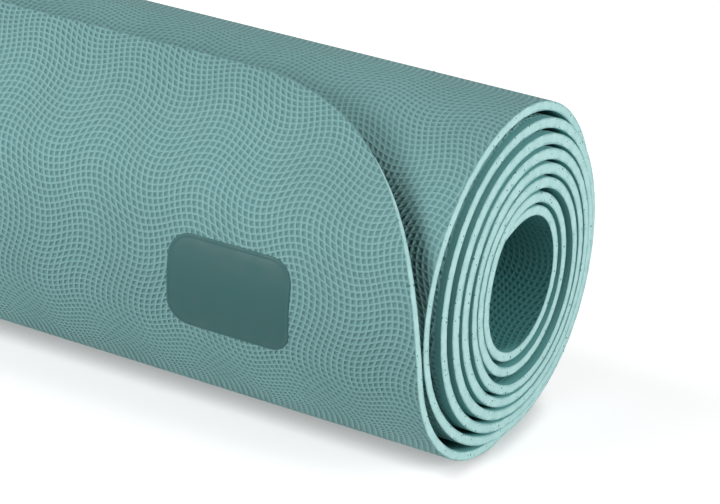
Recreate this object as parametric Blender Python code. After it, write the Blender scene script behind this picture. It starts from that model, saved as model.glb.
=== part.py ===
"""Rolled yoga mat in metres, +Z up, lying on the floor with its axis along X.

The mat is one laminated sheet: a foam core between two embossed skins, with a smooth pressed patch on
the face. It is wound into a roll. The outer turn is divided at two fold lines, so that its loose end
can be opened: the front wrap turns on the roll, and the free edge turns on the front wrap.

All turns follow one curve. Its reach in each of eight directions shrinks from turn to turn by the
sheet's thickness, the turn gap and a share of the loose gap. The free edge is lifted off the roll.
"""

import math

import bpy
import numpy as np

# The flat sheet
SHEET_WIDTH = 0.610
CORNER_RADIUS = 0.076
FACE_SKIN = 0.0004
FOAM_CORE = 0.00175
BACK_SKIN = 0.0004
BOND_GAP = 0.00005

# The outermost turn's distance from the winding axis, in eight directions
REACH_TOP = 0.0534
REACH_UPPER_FRONT = 0.0533
REACH_FRONT = 0.0539
REACH_LOWER_FRONT = 0.0523
REACH_BOTTOM = 0.0538
REACH_LOWER_BACK = 0.0575
REACH_BACK = 0.0558
REACH_UPPER_BACK = 0.0522

# How the sheet is wound
TURNS = 8.6
FREE_EDGE_ANGLE = math.radians(18)
FREE_EDGE_LIFT = 0.0050
LIFT_END_ANGLE = math.radians(150)
TURN_GAP = 0.0005
LOOSE_GAP = 0.0072
TOP_LOOSE_SHARES = (0.02, 0.42, 0.39, 0.28, 0.21, 0.18, 0.06, 0.08)
UPPER_FRONT_LOOSE_SHARES = (0.02, 0.85, 0.59, 0.35, 0.30, 0.07, 0.06, 0.07)
FRONT_LOOSE_SHARES = (0.20, 0.97, 0.50, 0.30, 0.33, 0.02, 0.06, 0.07)
LOWER_FRONT_LOOSE_SHARES = (0.29, 0.32, 0.27, 0.24, 0.27, 0.08, 0.06, 0.07)
BOTTOM_LOOSE_SHARES = (0.10, 0.02, 0.03, 0.06, 0.07, 0.37, 0.24, 0.05)
LOWER_BACK_LOOSE_SHARES = (0.04, 0.02, 0.02, 0.02, 0.02, 0.56, 0.34, 0.04)
BACK_LOOSE_SHARES = (0.02, 0.02, 0.02, 0.07, 0.09, 0.46, 0.24, 0.04)
UPPER_BACK_LOOSE_SHARES = (0.09, 0.10, 0.13, 0.15, 0.15, 0.21, 0.13, 0.04)
SIDE_WANDER = 0.0080
WANDER_AHEAD = math.radians(21.5)
WANDER_RECESS = 0.0039
WANDER_KEPT_SHARE = 0.32
FLAT_DEPTH = 0.0005

# Fold lines, as angles from the top towards the front
WRAP_FOLD_ANGLE = math.radians(140)
FREE_FOLD_ANGLE = math.radians(48)
FOLD_GAP = 0.0003

# The pressed patch on the front wrap
PATCH_LENGTH = 0.040
PATCH_HEIGHT = 0.028
PATCH_CORNER = 0.007
PATCH_THICKNESS = 0.00025
PATCH_SETBACK = 0.0605
PATCH_ANGLE = math.radians(85)

# Counts
STATIONS_PER_TURN = 36
SHEET_CORNER_STEPS = 6
PATCH_CORNER_STEPS = 4
FINE_STEPS_PER_TURN = 720
GAP_SAMPLES = 4
NEAR_STATION_SHARE = 0.25

THICKNESS = FACE_SKIN + BOND_GAP + FOAM_CORE + BOND_GAP + BACK_SKIN
FULL_TURN = 2 * math.pi
EIGHTH = 1 / 8
FIRST_TURN = FREE_EDGE_ANGLE / FULL_TURN
LAST_TURN = FIRST_TURN + TURNS
LIFT_END_TURN = LIFT_END_ANGLE / FULL_TURN
WRAP_FOLD_TURN = WRAP_FOLD_ANGLE / FULL_TURN
FREE_FOLD_TURN = FREE_FOLD_ANGLE / FULL_TURN
PATCH_TURN = PATCH_ANGLE / FULL_TURN

# Depth of each layer's outer and inner surface below the face
FACE_DEPTHS = (0, FACE_SKIN)
CORE_DEPTHS = (FACE_SKIN + BOND_GAP, FACE_SKIN + BOND_GAP + FOAM_CORE)
BACK_DEPTHS = (THICKNESS - BACK_SKIN, THICKNESS)
PATCH_DEPTHS = (-BOND_GAP - PATCH_THICKNESS, -BOND_GAP)

TEAL = (0.155, 0.330, 0.318)
TEAL_BACK = (0.140, 0.310, 0.300)
MINT = (0.410, 0.680, 0.660)
DARK_TEAL = (0.046, 0.130, 0.130)


def reach_table(first, loose_shares):
    """Reach of each turn in one direction, from one turn before the outermost one inwards."""
    shares = [0, *loose_shares] + [0] * (math.ceil(TURNS) + 1 - len(loose_shares))
    steps = [THICKNESS + TURN_GAP + LOOSE_GAP * share for share in shares]
    return first + steps[0] - np.concatenate([[0], np.cumsum(steps)])


# Reach at each eighth of a turn. The turn before the outermost one is there so that the outermost
# one bends like the next at its start.
REACHES = np.column_stack(
    [
        reach_table(REACH_TOP, TOP_LOOSE_SHARES),
        reach_table(REACH_UPPER_FRONT, UPPER_FRONT_LOOSE_SHARES),
        reach_table(REACH_FRONT, FRONT_LOOSE_SHARES),
        reach_table(REACH_LOWER_FRONT, LOWER_FRONT_LOOSE_SHARES),
        reach_table(REACH_BOTTOM, BOTTOM_LOOSE_SHARES),
        reach_table(REACH_LOWER_BACK, LOWER_BACK_LOOSE_SHARES),
        reach_table(REACH_BACK, BACK_LOOSE_SHARES),
        reach_table(REACH_UPPER_BACK, UPPER_BACK_LOOSE_SHARES),
    ]
).ravel()


def curve_bends(values):
    """Second derivative at each of a row of values of the smooth curve through them."""
    rows = np.eye(len(values))
    wanted = np.zeros(len(values))
    for row in range(1, len(values) - 1):
        rows[row, row - 1 : row + 2] = (1, 4, 1)
        wanted[row] = 6 * (values[row - 1] - 2 * values[row] + values[row + 1])
    return np.linalg.solve(rows, wanted)


BENDS = curve_bends(REACHES)


def lift(turn):
    """How far the loose outer end stands off the roll, from the free edge to where it lies close."""
    share = np.clip(1 - np.asarray(turn, float) / LIFT_END_TURN, 0, 1)
    return FREE_EDGE_LIFT * np.sin(FULL_TURN / 4 * share) ** 2


def reach(turn):
    """Distance of the face from the winding axis, on the smooth curve through the reaches."""
    place = np.clip((np.asarray(turn, float) + 1) / EIGHTH, 0, len(REACHES) - 1)
    index = np.minimum(place.astype(int), len(REACHES) - 2)
    past = place - index
    left = 1 - past
    straight = left * REACHES[index] + past * REACHES[index + 1]
    bend = (left**3 - left) * BENDS[index] + (past**3 - past) * BENDS[index + 1]
    return straight + bend / 6 + lift(turn)


def winding(turn):
    """Points of the sheet's face in the YZ plane, before it is pressed flat at the bottom."""
    angle = FULL_TURN * np.asarray(turn, float)
    return reach(turn)[..., None] * np.stack([-np.sin(angle), np.cos(angle)], axis=-1)


def outward(turn):
    """Unit normals of the face, pointing away from the winding axis."""
    step = 1 / FINE_STEPS_PER_TURN
    along = winding(np.asarray(turn) + step) - winding(np.asarray(turn) - step)
    along /= np.linalg.norm(along, axis=-1, keepdims=True)
    return np.stack([along[..., 1], -along[..., 0]], axis=-1)


FINE_TURNS = np.linspace(FIRST_TURN, LAST_TURN, int(TURNS * FINE_STEPS_PER_TURN) + 1)
FINE_POINTS = winding(FINE_TURNS) - outward(FINE_TURNS) * THICKNESS / 2
FINE_LENGTHS = np.concatenate([[0], np.cumsum(np.linalg.norm(np.diff(FINE_POINTS, axis=0), axis=1))])
SHEET_LENGTH = FINE_LENGTHS[-1]
FLOOR_LEVEL = winding(np.linspace(0, 1, FINE_STEPS_PER_TURN))[:, 1].min() + FLAT_DEPTH


def length_at(turn):
    """Distance along the sheet from its outer end."""
    return np.interp(turn, FINE_TURNS, FINE_LENGTHS)


def turn_at(length):
    """Turn at a distance along the sheet from its outer end."""
    return np.interp(length, FINE_LENGTHS, FINE_TURNS)


def face_points(turn, depth):
    """Points at a depth below the face, with the outer turn pressed flat where it meets the floor."""
    points = winding(turn) - outward(turn) * depth
    pressed = np.maximum(points[:, 1], FLOOR_LEVEL + depth)
    points[:, 1] = np.where(np.asarray(turn) < 1, pressed, points[:, 1])
    return points


def half_width(turn):
    """Half of the sheet's width, drawn in along the round corners of both ends."""
    length = length_at(turn)
    from_end = np.minimum(length, SHEET_LENGTH - length)
    inside = np.clip(CORNER_RADIUS - from_end, 0, CORNER_RADIUS)
    return SHEET_WIDTH / 2 - CORNER_RADIUS + np.sqrt(CORNER_RADIUS**2 - inside**2)


def wander(turn):
    """Sideways drift of the turns, so that the roll's ends are a little stepped."""
    turn = np.asarray(turn, float)
    swing = SIDE_WANDER * np.sin(FULL_TURN * turn + WANDER_AHEAD) - WANDER_RECESS
    return swing * WANDER_KEPT_SHARE**turn


def pressed_edges():
    """Turns at which the outer turn meets and leaves the floor."""
    turns = np.linspace(0, 1, FINE_STEPS_PER_TURN + 1)
    pressed = turns[winding(turns)[:, 1] < FLOOR_LEVEL]
    return [pressed[0], pressed[-1]]


def all_stations():
    """Turns at which the layers have their corners, shared by all layers."""
    spacing = 1 / STATIONS_PER_TURN
    corner = [1 - math.cos(FULL_TURN / 4 * step / SHEET_CORNER_STEPS) for step in range(SHEET_CORNER_STEPS + 1)]
    fixed = [turn_at(CORNER_RADIUS * share) for share in corner]
    fixed += [turn_at(SHEET_LENGTH - CORNER_RADIUS * share) for share in corner]
    flat = pressed_edges()
    fixed += flat
    first = math.ceil(FIRST_TURN / spacing)
    regular = [(first + index + 1 / 2) * spacing for index in range(int(TURNS * STATIONS_PER_TURN))]
    near = NEAR_STATION_SHARE * spacing
    kept = [
        turn
        for turn in regular
        if turn < LAST_TURN and not flat[0] < turn < flat[1] and min(abs(turn - other) for other in fixed) > near
    ]
    return np.array(sorted(fixed + kept))


STATIONS = all_stations()


def fold_step(turn):
    """Half of the fold gap, as a part of a turn."""
    here = length_at(turn)
    return turn_at(here + FOLD_GAP / 2) - turn


def section(first, last):
    """Stations of a stretch of the sheet, with its own two ends."""
    near = NEAR_STATION_SHARE / STATIONS_PER_TURN
    inside = STATIONS[(STATIONS > first + near) & (STATIONS < last - near)]
    return np.concatenate([[first], inside, [last]])


def facet_points(turn, depth):
    """Points on the flat facets between the stations, at a depth below the face."""
    corners = face_points(STATIONS, depth)
    return np.stack([np.interp(turn, STATIONS, corners[:, axis]) for axis in range(2)], axis=1)


def frame_shift():
    """Move that puts the middle of the part's underside at the origin."""
    corners = np.concatenate([face_points(STATIONS, 0), face_points(PATCH_STATIONS, PATCH_DEPTHS[0])])
    sides = np.concatenate([half_width(STATIONS) + wander(STATIONS), wander(STATIONS) - half_width(STATIONS)])
    middle = (corners.min(axis=0) + corners.max(axis=0)) / 2
    return np.array([-(sides.min() + sides.max()) / 2, -middle[0], -FLOOR_LEVEL])


def patch_stations():
    """Stations of the patch: its round corners, and the sheet's own stations under it."""
    middle = length_at(PATCH_TURN)
    rounding = [
        PATCH_CORNER * (1 - math.cos(FULL_TURN / 4 * step / PATCH_CORNER_STEPS))
        for step in range(PATCH_CORNER_STEPS + 1)
    ]
    ends = [middle - PATCH_HEIGHT / 2 + reach for reach in rounding]
    ends += [middle + PATCH_HEIGHT / 2 - reach for reach in rounding]
    fixed = [turn_at(length) for length in ends]
    inside = STATIONS[(STATIONS > min(fixed)) & (STATIONS < max(fixed))]
    return np.array(sorted(fixed + list(inside)))


def patch_half_length(turn):
    """Half of the patch's length along the roll at each of its stations."""
    off_middle = np.abs(length_at(turn) - length_at(PATCH_TURN))
    into_corner = np.clip(off_middle - (PATCH_HEIGHT / 2 - PATCH_CORNER), 0, PATCH_CORNER)
    return PATCH_LENGTH / 2 - PATCH_CORNER + np.sqrt(PATCH_CORNER**2 - into_corner**2)


PATCH_STATIONS = patch_stations()
SHIFT = frame_shift()


def material(name, colour, roughness):
    """One plain material."""
    made = bpy.data.materials.new(name)
    made.use_nodes = True
    shader = made.node_tree.nodes["Principled BSDF"]
    shader.inputs["Base Color"].default_value = (*colour, 1)
    shader.inputs["Roughness"].default_value = roughness
    shader.inputs["Metallic"].default_value = 0
    made.diffuse_color = (*colour, 1)
    return made


def strip(name, sides, surfaces, finish, pivot):
    """Closed strip between an outer and an inner surface, with a left and a right side."""
    rows = []
    for surface in surfaces:
        for side in sides:
            rows.append(np.column_stack([side, surface]) + SHIFT)
    origin = np.array(pivot.matrix_world.translation) if pivot else np.zeros(3)
    points = np.stack(rows, axis=1).reshape(-1, 3) - origin
    faces = []
    around = (0, 1, 3, 2)
    count = len(sides[0])
    for station in range(count - 1):
        here, there = 4 * station, 4 * (station + 1)
        for place in range(4):
            a, b = around[place], around[(place + 1) % 4]
            faces.append((here + a, there + a, there + b, here + b))
    faces.append(around)
    faces.append(tuple(4 * (count - 1) + corner for corner in reversed(around)))
    mesh = bpy.data.meshes.new(name)
    mesh.from_pydata([tuple(point) for point in points], [], faces)
    mesh.materials.append(finish)
    made = bpy.data.objects.new(name, mesh)
    bpy.context.collection.objects.link(made)
    made.parent = pivot
    return made


def layer(name, stations, depths, finish, pivot=None):
    """One layer of a stretch of the sheet."""
    sides = [wander(stations) - half_width(stations), wander(stations) + half_width(stations)]
    surfaces = [facet_points(stations, depth) for depth in depths]
    return strip(name, sides, surfaces, finish, pivot)


def patch(name, finish, pivot):
    """The smooth pressed patch, on the facets of the front wrap's face."""
    middle = SHEET_WIDTH / 2 - PATCH_SETBACK
    half = patch_half_length(PATCH_STATIONS)
    surfaces = [facet_points(PATCH_STATIONS, depth) for depth in PATCH_DEPTHS]
    return strip(name, [middle - half, middle + half], surfaces, finish, pivot)


def fold_pivot(name, turn, parent=None):
    """Empty on a fold line, which lies in the sheet's face."""
    made = bpy.data.objects.new(name, None)
    bpy.context.collection.objects.link(made)
    place = np.concatenate([[0], winding([turn])[0]]) + SHIFT
    place[0] = 0
    made.parent = parent
    made.location = place - (np.array(parent.location) if parent else 0)
    bpy.context.view_layer.update()
    return made


def least_gap():
    """Least clear distance between neighbouring turns, measured on points of their facets."""
    turns = np.interp(
        np.arange((len(STATIONS) - 1) * GAP_SAMPLES + 1) / GAP_SAMPLES, np.arange(len(STATIONS)), STATIONS
    )
    inner = facet_points(turns, THICKNESS)
    outer = facet_points(turns, 0)
    starts, ends = outer[:-1], outer[1:]
    along = ends - starts
    least = math.inf
    for turn, point in zip(turns, inner):
        near = np.abs((turns[:-1] + turns[1:]) / 2 - turn - 1) < 2 * EIGHTH
        if not near.any():
            continue
        share = np.sum((point - starts[near]) * along[near], axis=1) / np.sum(along[near] ** 2, axis=1)
        closest = starts[near] + np.clip(share, 0, 1)[:, None] * along[near]
        least = min(least, np.linalg.norm(closest - point, axis=1).min())
    return least


def main():
    """Build every layer of the roll, the front wrap and the free edge, and the patch."""
    for old in list(bpy.data.objects):
        bpy.data.objects.remove(old, do_unlink=True)
    face = material("face_skin_teal", TEAL, 0.75)
    core = material("foam_core_mint", MINT, 0.85)
    back = material("back_skin_teal", TEAL_BACK, 0.75)
    smooth = material("pressed_patch_dark", DARK_TEAL, 0.45)

    wrap_pivot = fold_pivot("front_wrap_pivot", WRAP_FOLD_TURN)
    edge_pivot = fold_pivot("free_edge_pivot", FREE_FOLD_TURN, wrap_pivot)

    wrap_step, edge_step = fold_step(WRAP_FOLD_TURN), fold_step(FREE_FOLD_TURN)
    stretches = {
        "roll": (section(WRAP_FOLD_TURN + wrap_step, LAST_TURN), None),
        "front_wrap": (section(FREE_FOLD_TURN + edge_step, WRAP_FOLD_TURN - wrap_step), wrap_pivot),
        "free_edge": (section(FIRST_TURN, FREE_FOLD_TURN - edge_step), edge_pivot),
    }
    for part, (stations, pivot) in stretches.items():
        layer(f"{part}_face_skin", stations, FACE_DEPTHS, face, pivot)
        layer(f"{part}_foam_core", stations, CORE_DEPTHS, core, pivot)
        layer(f"{part}_back_skin", stations, BACK_DEPTHS, back, pivot)
    patch("pressed_patch", smooth, wrap_pivot)

    print("sheet length", round(SHEET_LENGTH, 4), "thickness", round(THICKNESS, 5))
    print("least gap between turns", round(least_gap(), 6))
    print("shift", SHIFT.round(6), "stations", len(STATIONS))
    for pivot in (wrap_pivot, edge_pivot):
        print(pivot.name, [round(value, 6) for value in pivot.matrix_world.translation])


main()
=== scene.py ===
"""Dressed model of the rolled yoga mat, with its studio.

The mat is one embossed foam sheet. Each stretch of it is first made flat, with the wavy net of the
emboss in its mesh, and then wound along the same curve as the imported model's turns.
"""

import logging
import math
from dataclasses import dataclass, field
from enum import Enum, IntEnum
from typing import Any, Optional, Sequence

import bpy
import numpy as np
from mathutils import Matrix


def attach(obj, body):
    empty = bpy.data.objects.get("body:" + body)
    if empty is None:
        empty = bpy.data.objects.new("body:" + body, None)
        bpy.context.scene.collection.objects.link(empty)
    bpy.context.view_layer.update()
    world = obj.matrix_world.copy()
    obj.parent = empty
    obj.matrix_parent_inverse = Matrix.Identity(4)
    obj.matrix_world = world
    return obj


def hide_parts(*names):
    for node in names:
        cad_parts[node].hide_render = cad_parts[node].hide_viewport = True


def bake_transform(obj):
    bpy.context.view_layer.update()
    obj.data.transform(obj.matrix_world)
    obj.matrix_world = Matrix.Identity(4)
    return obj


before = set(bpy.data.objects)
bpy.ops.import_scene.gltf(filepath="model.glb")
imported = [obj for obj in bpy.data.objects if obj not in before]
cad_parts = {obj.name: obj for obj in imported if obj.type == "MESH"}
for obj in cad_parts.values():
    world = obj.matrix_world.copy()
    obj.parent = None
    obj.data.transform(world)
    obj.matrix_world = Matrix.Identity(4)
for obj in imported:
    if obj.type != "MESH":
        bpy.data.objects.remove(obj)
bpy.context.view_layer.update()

log = logging.getLogger("yoga_mat")

FULL_TURN = 2 * math.pi
MM = 0.001
TINY = 1e-9

Colour = tuple[float, float, float, float]
Place = tuple[float, float, float]
Span = tuple[float, float]


class Body(str, Enum):
    """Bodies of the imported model."""

    ROLL = "roll"
    FRONT_WRAP = "front_wrap"
    FREE_EDGE = "free_edge"


class Layer(IntEnum):
    """Parts of the sheet's surface, by the number kept on each face."""

    FACE = 0
    FOAM = 1
    BACK = 2


class Grid(Enum):
    """How fine a stretch of the sheet is made."""

    NET = "follows the net of the emboss"
    PLAIN = "straight rows, for the hidden turns"


def add_object(name: str, data: Any) -> bpy.types.Object:
    """Make an object, and put it in the scene.

    Args:
        name: Its name.
        data: Its mesh, curve, lamp or camera.

    Returns:
        The object.
    """
    made = bpy.data.objects.new(name, data)
    bpy.context.collection.objects.link(made)
    return made


def within(share: np.ndarray, margin: float) -> np.ndarray:
    """Draw shares between 0 and 1 in from both ends, which leaves room round them in a bake."""
    return margin + (1 - 2 * margin) * share


def paint(red: int, green: int, blue: int) -> Colour:
    """Linear colour of an sRGB colour given in steps of 255.

    Args:
        red: Red, up to 255.
        green: Green, up to 255.
        blue: Blue, up to 255.

    Returns:
        The colour.
    """
    levels = [value / 255 for value in (red, green, blue)]
    linear = [level / 12.92 if level <= 0.04045 else ((level + 0.055) / 1.055) ** 2.4 for level in levels]
    return (linear[0], linear[1], linear[2], 1.0)


class NodeBench:
    """Adds and links the nodes of one tree."""

    def __init__(self, tree: bpy.types.NodeTree) -> None:
        """Start with the tree that gets the nodes."""
        self.tree = tree

    def feed(self, socket: bpy.types.NodeSocket, value: Any) -> None:
        """Link a socket to another, or set its own value.

        Args:
            socket: The input.
            value: An output socket, or a plain value.
        """
        if isinstance(value, bpy.types.NodeSocket):
            self.tree.links.new(value, socket)
        else:
            socket.default_value = value

    def add(self, kind: str, inputs: Optional[dict[Any, Any]] = None, **settings: Any) -> bpy.types.Node:
        """Add a node.

        Args:
            kind: Blender's name of the node type.
            inputs: Values or sockets, by input name or index.
            settings: Properties of the node.

        Returns:
            The new node.
        """
        node = self.tree.nodes.new(kind)
        for name, value in settings.items():
            setattr(node, name, value)
        for name, value in (inputs or {}).items():
            self.feed(node.inputs[name], value)
        return node

    def math(self, operation: str, *values: Any) -> bpy.types.NodeSocket:
        """Result of a Math node on sockets or numbers."""
        return self.add("ShaderNodeMath", dict(enumerate(values)), operation=operation).outputs[0]

    def vector(self, operation: str, *values: Any) -> bpy.types.NodeSocket:
        """Result of a Vector Math node on sockets or vectors."""
        return self.add("ShaderNodeVectorMath", dict(enumerate(values)), operation=operation).outputs[0]

    def ramp(self, value: Any, low: float, high: float, to_low: float = 0.0, to_high: float = 1.0) -> Any:
        """Smooth change from one level to another.

        Args:
            value: The socket that is read.
            low: Its value at the first level.
            high: Its value at the second level.
            to_low: The first level.
            to_high: The second level.

        Returns:
            The output socket.
        """
        inputs = {0: value, 1: low, 2: high, 3: to_low, 4: to_high}
        return self.add("ShaderNodeMapRange", inputs, interpolation_type="SMOOTHSTEP").outputs[0]

    def blend(self, share: Any, first: Any, second: Any, mode: str = "MIX") -> bpy.types.NodeSocket:
        """Mixed colour.

        Args:
            share: How much of the second colour.
            first: Socket or colour.
            second: Socket or colour.
            mode: Blender's name of the mixing.

        Returns:
            The output socket.
        """
        node = self.add("ShaderNodeMix", data_type="RGBA", blend_type=mode, clamp_factor=True)
        self.feed(node.inputs[0], share)
        self.feed(node.inputs[6], first)
        self.feed(node.inputs[7], second)
        return node.outputs[2]

    def noise(self, place: Any, scale: Any, detail: float, roughness: float = 0.5) -> bpy.types.NodeSocket:
        """Level of a noise texture."""
        inputs = {"Vector": place, "Scale": scale, "Detail": detail, "Roughness": roughness}
        return self.add("ShaderNodeTexNoise", inputs).outputs[0]

    def bump(self, height: Any, distance: float, strength: float, **more: Any) -> bpy.types.NodeSocket:
        """Normal of a Bump node."""
        inputs = {"Height": height, "Distance": distance, "Strength": strength, **more}
        return self.add("ShaderNodeBump", inputs).outputs[0]

    def parts(self, vector: Any) -> Any:
        """Sockets with the parts of a vector."""
        return self.add("ShaderNodeSeparateXYZ", {0: vector}).outputs

    def joined(self, *parts: Any) -> bpy.types.NodeSocket:
        """Vector with up to three parts."""
        return self.add("ShaderNodeCombineXYZ", dict(enumerate(parts))).outputs[0]

    def dress(self, name: str, inputs: dict[str, Any]) -> None:
        """Feed inputs of a node that is already in the tree."""
        for title, value in inputs.items():
            self.feed(self.tree.nodes[name].inputs[title], value)


@dataclass
class Winding:
    """How the sheet is wound, in metres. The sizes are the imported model's own."""

    width: float = 0.610
    corner_radius: float = 0.076
    thickness: float = 0.00265
    turns: float = 8.6
    free_edge_angle: float = math.radians(18)
    free_edge_lift: float = 0.0050
    lift_end_angle: float = math.radians(150)
    turn_gap: float = 0.0005
    loose_gap: float = 0.0072
    reaches: tuple[float, ...] = (0.0534, 0.0533, 0.0539, 0.0523, 0.0538, 0.0575, 0.0558, 0.0522)
    loose_shares: tuple[tuple[float, ...], ...] = (
        (0.02, 0.42, 0.39, 0.28, 0.21, 0.18, 0.06, 0.08),
        (0.02, 0.85, 0.59, 0.35, 0.30, 0.07, 0.06, 0.07),
        (0.20, 0.97, 0.50, 0.30, 0.33, 0.02, 0.06, 0.07),
        (0.29, 0.32, 0.27, 0.24, 0.27, 0.08, 0.06, 0.07),
        (0.10, 0.02, 0.03, 0.06, 0.07, 0.37, 0.24, 0.05),
        (0.04, 0.02, 0.02, 0.02, 0.02, 0.56, 0.34, 0.04),
        (0.02, 0.02, 0.02, 0.07, 0.09, 0.46, 0.24, 0.04),
        (0.09, 0.10, 0.13, 0.15, 0.15, 0.21, 0.13, 0.04),
    )
    side_wander: float = 0.0080
    wander_ahead: float = math.radians(21.5)
    wander_recess: float = 0.0039
    wander_kept: float = 0.32
    flat_depth: float = 0.0005
    frame_shift: Place = (0.001608, 0.000025, 0.053536)
    least_room: float = 0.0005
    swell_most: float = 0.0011
    swell_angle: float = math.radians(50)
    swell_turns: tuple[float, ...] = (0.0, 0.5, 1.3, 2.3, 3.2, 5.4, 6.4, 7.4, 8.6)
    swell_shares: tuple[float, ...] = (0.1, 0.1, 0.35, 0.7, 1.0, 1.0, 0.8, 0.5, 0.3)
    fine_steps: int = 720
    path_step: float = 0.0004
    lead: float = 0.004
    table: np.ndarray = field(init=False)
    bends: np.ndarray = field(init=False)
    fine_turns: np.ndarray = field(init=False)
    fine_lengths: np.ndarray = field(init=False)
    floor_level: float = field(init=False)

    def __post_init__(self) -> None:
        """Work out the reach of every turn, and the length along the sheet."""
        rows = [self.reach_table(first, shares) for first, shares in zip(self.reaches, self.loose_shares)]
        self.table = np.column_stack(rows).ravel()
        self.bends = self.curve_bends(self.table)
        self.fine_turns = np.linspace(self.first_turn, self.last_turn, int(self.turns * self.fine_steps) + 1)
        middle = self.face(self.fine_turns) - self.outward(self.fine_turns) * self.thickness / 2
        steps = np.linalg.norm(np.diff(middle, axis=0), axis=1)
        self.fine_lengths = np.concatenate([[0], np.cumsum(steps)])
        self.floor_level = self.face(np.linspace(0, 1, self.fine_steps))[:, 1].min() + self.flat_depth

    @property
    def first_turn(self) -> float:
        """Turn at which the sheet's outer end lies."""
        return self.free_edge_angle / FULL_TURN

    @property
    def last_turn(self) -> float:
        """Turn at which the sheet's inner end lies."""
        return self.first_turn + self.turns

    @property
    def length(self) -> float:
        """Length of the whole sheet."""
        return float(self.fine_lengths[-1])

    def reach_table(self, first: float, shares: Sequence[float]) -> np.ndarray:
        """Reach of each turn in one direction, from one turn before the outermost one inwards.

        Args:
            first: Reach of the outermost turn.
            shares: How loose each turn is in this direction.

        Returns:
            The reaches.
        """
        all_shares = [0.0, *shares] + [0.0] * (math.ceil(self.turns) + 1 - len(shares))
        steps = [self.thickness + self.turn_gap + self.loose_gap * share for share in all_shares]
        return first + steps[0] - np.concatenate([[0], np.cumsum(steps)])

    @staticmethod
    def curve_bends(values: np.ndarray) -> np.ndarray:
        """Second derivative at each of a row of values of the smooth curve through them.

        Args:
            values: The values, evenly apart.

        Returns:
            One second derivative for each value.
        """
        rows, wanted = np.eye(len(values)), np.zeros(len(values))
        for row in range(1, len(values) - 1):
            rows[row, row - 1 : row + 2] = (1, 4, 1)
            wanted[row] = 6 * (values[row - 1] - 2 * values[row] + values[row + 1])
        return np.linalg.solve(rows, wanted)

    def lift(self, turn: np.ndarray) -> np.ndarray:
        """How far the loose outer end stands off the roll."""
        share = np.clip(1 - np.asarray(turn, float) * FULL_TURN / self.lift_end_angle, 0, 1)
        return self.free_edge_lift * np.sin(FULL_TURN / 4 * share) ** 2

    def reach(self, turn: np.ndarray) -> np.ndarray:
        """Distance of the face from the winding axis, on the smooth curve through the reaches.

        Args:
            turn: Turns from the top.

        Returns:
            The distances.
        """
        place = np.clip((np.asarray(turn, float) + 1) * len(self.reaches), 0, len(self.table) - 1)
        index = np.minimum(place.astype(int), len(self.table) - 2)
        past = place - index
        left = 1 - past
        straight = left * self.table[index] + past * self.table[index + 1]
        bend = (left**3 - left) * self.bends[index] + (past**3 - past) * self.bends[index + 1]
        return straight + bend / 6 + self.lift(turn)

    def face(self, turn: np.ndarray) -> np.ndarray:
        """Points of the sheet's face across and up, before it is pressed flat on the floor."""
        angle = FULL_TURN * np.asarray(turn, float)
        return self.reach(turn)[..., None] * np.stack([-np.sin(angle), np.cos(angle)], axis=-1)

    def swell(self, length: np.ndarray) -> np.ndarray:
        """How much thicker the foam is where the roll's weight and curl don't squeeze it.

        Args:
            length: Distances along the sheet.

        Returns:
            The extra thickness, which goes inwards and leaves the turns apart.
        """
        turn = np.interp(length, self.fine_lengths, self.fine_turns)
        room = self.reach(turn) - self.reach(turn + 1) - self.thickness - self.least_room
        facing = (1 + np.cos(FULL_TURN * turn - self.swell_angle)) / 2
        share = np.interp(turn, self.swell_turns, self.swell_shares)
        return np.clip(np.minimum(self.swell_most * facing * share, room), 0, None)

    def outward(self, turn: np.ndarray) -> np.ndarray:
        """Unit normals of the face, pointing away from the winding axis.

        Args:
            turn: Turns from the top.

        Returns:
            The normals, across and up.
        """
        step = 1 / self.fine_steps
        along = self.face(np.asarray(turn) + step) - self.face(np.asarray(turn) - step)
        along /= np.linalg.norm(along, axis=-1, keepdims=True)
        return np.stack([along[..., 1], -along[..., 0]], axis=-1)

    def length_at(self, turn: float) -> float:
        """Distance along the sheet from its outer end."""
        return float(np.interp(turn, self.fine_turns, self.fine_lengths))

    def length_at_angle(self, degrees: float) -> float:
        """Distance along the sheet of an angle from the top towards the front."""
        return self.length_at(degrees / 360)

    def wander(self, turn: np.ndarray) -> np.ndarray:
        """Sideways drift of the turns, which steps the roll's ends a little."""
        swing = self.side_wander * np.sin(FULL_TURN * turn + self.wander_ahead) - self.wander_recess
        return swing * self.wander_kept**turn

    def place(self, degrees: float) -> Place:
        """Point of the outer turn's mid-thickness at an angle from the top, at the roll's middle.

        Args:
            degrees: The angle.

        Returns:
            The point in the shared frame.
        """
        turn = np.array([degrees / 360])
        point = (self.face(turn) - self.outward(turn) * self.thickness / 2)[0]
        return (0.0, float(point[0]) + self.frame_shift[1], float(point[1]) + self.frame_shift[2])

    def path_points(self) -> np.ndarray:
        """Points along the middle of the sheet's thickness, evenly spaced, with a short lead at both ends.

        Returns:
            The points in the shared frame.
        """
        lengths = np.arange(-self.lead, self.length + self.lead, self.path_step)
        turns, marks = self.fine_turns, self.fine_lengths
        slope_in = (turns[1] - turns[0]) / marks[1]
        slope_out = (turns[-1] - turns[-2]) / (marks[-1] - marks[-2])
        turn = np.interp(lengths, self.fine_lengths, self.fine_turns)
        turn = np.where(lengths < 0, self.first_turn + lengths * slope_in, turn)
        turn = np.where(lengths > self.length, self.last_turn + (lengths - self.length) * slope_out, turn)
        points = self.face(turn) - self.outward(turn) * self.thickness / 2
        pressed = np.maximum(points[:, 1], self.floor_level + self.thickness / 2)
        points[:, 1] = np.where(turn < 1, pressed, points[:, 1])
        return np.column_stack([self.wander(turn), points]) + np.array(self.frame_shift)


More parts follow.
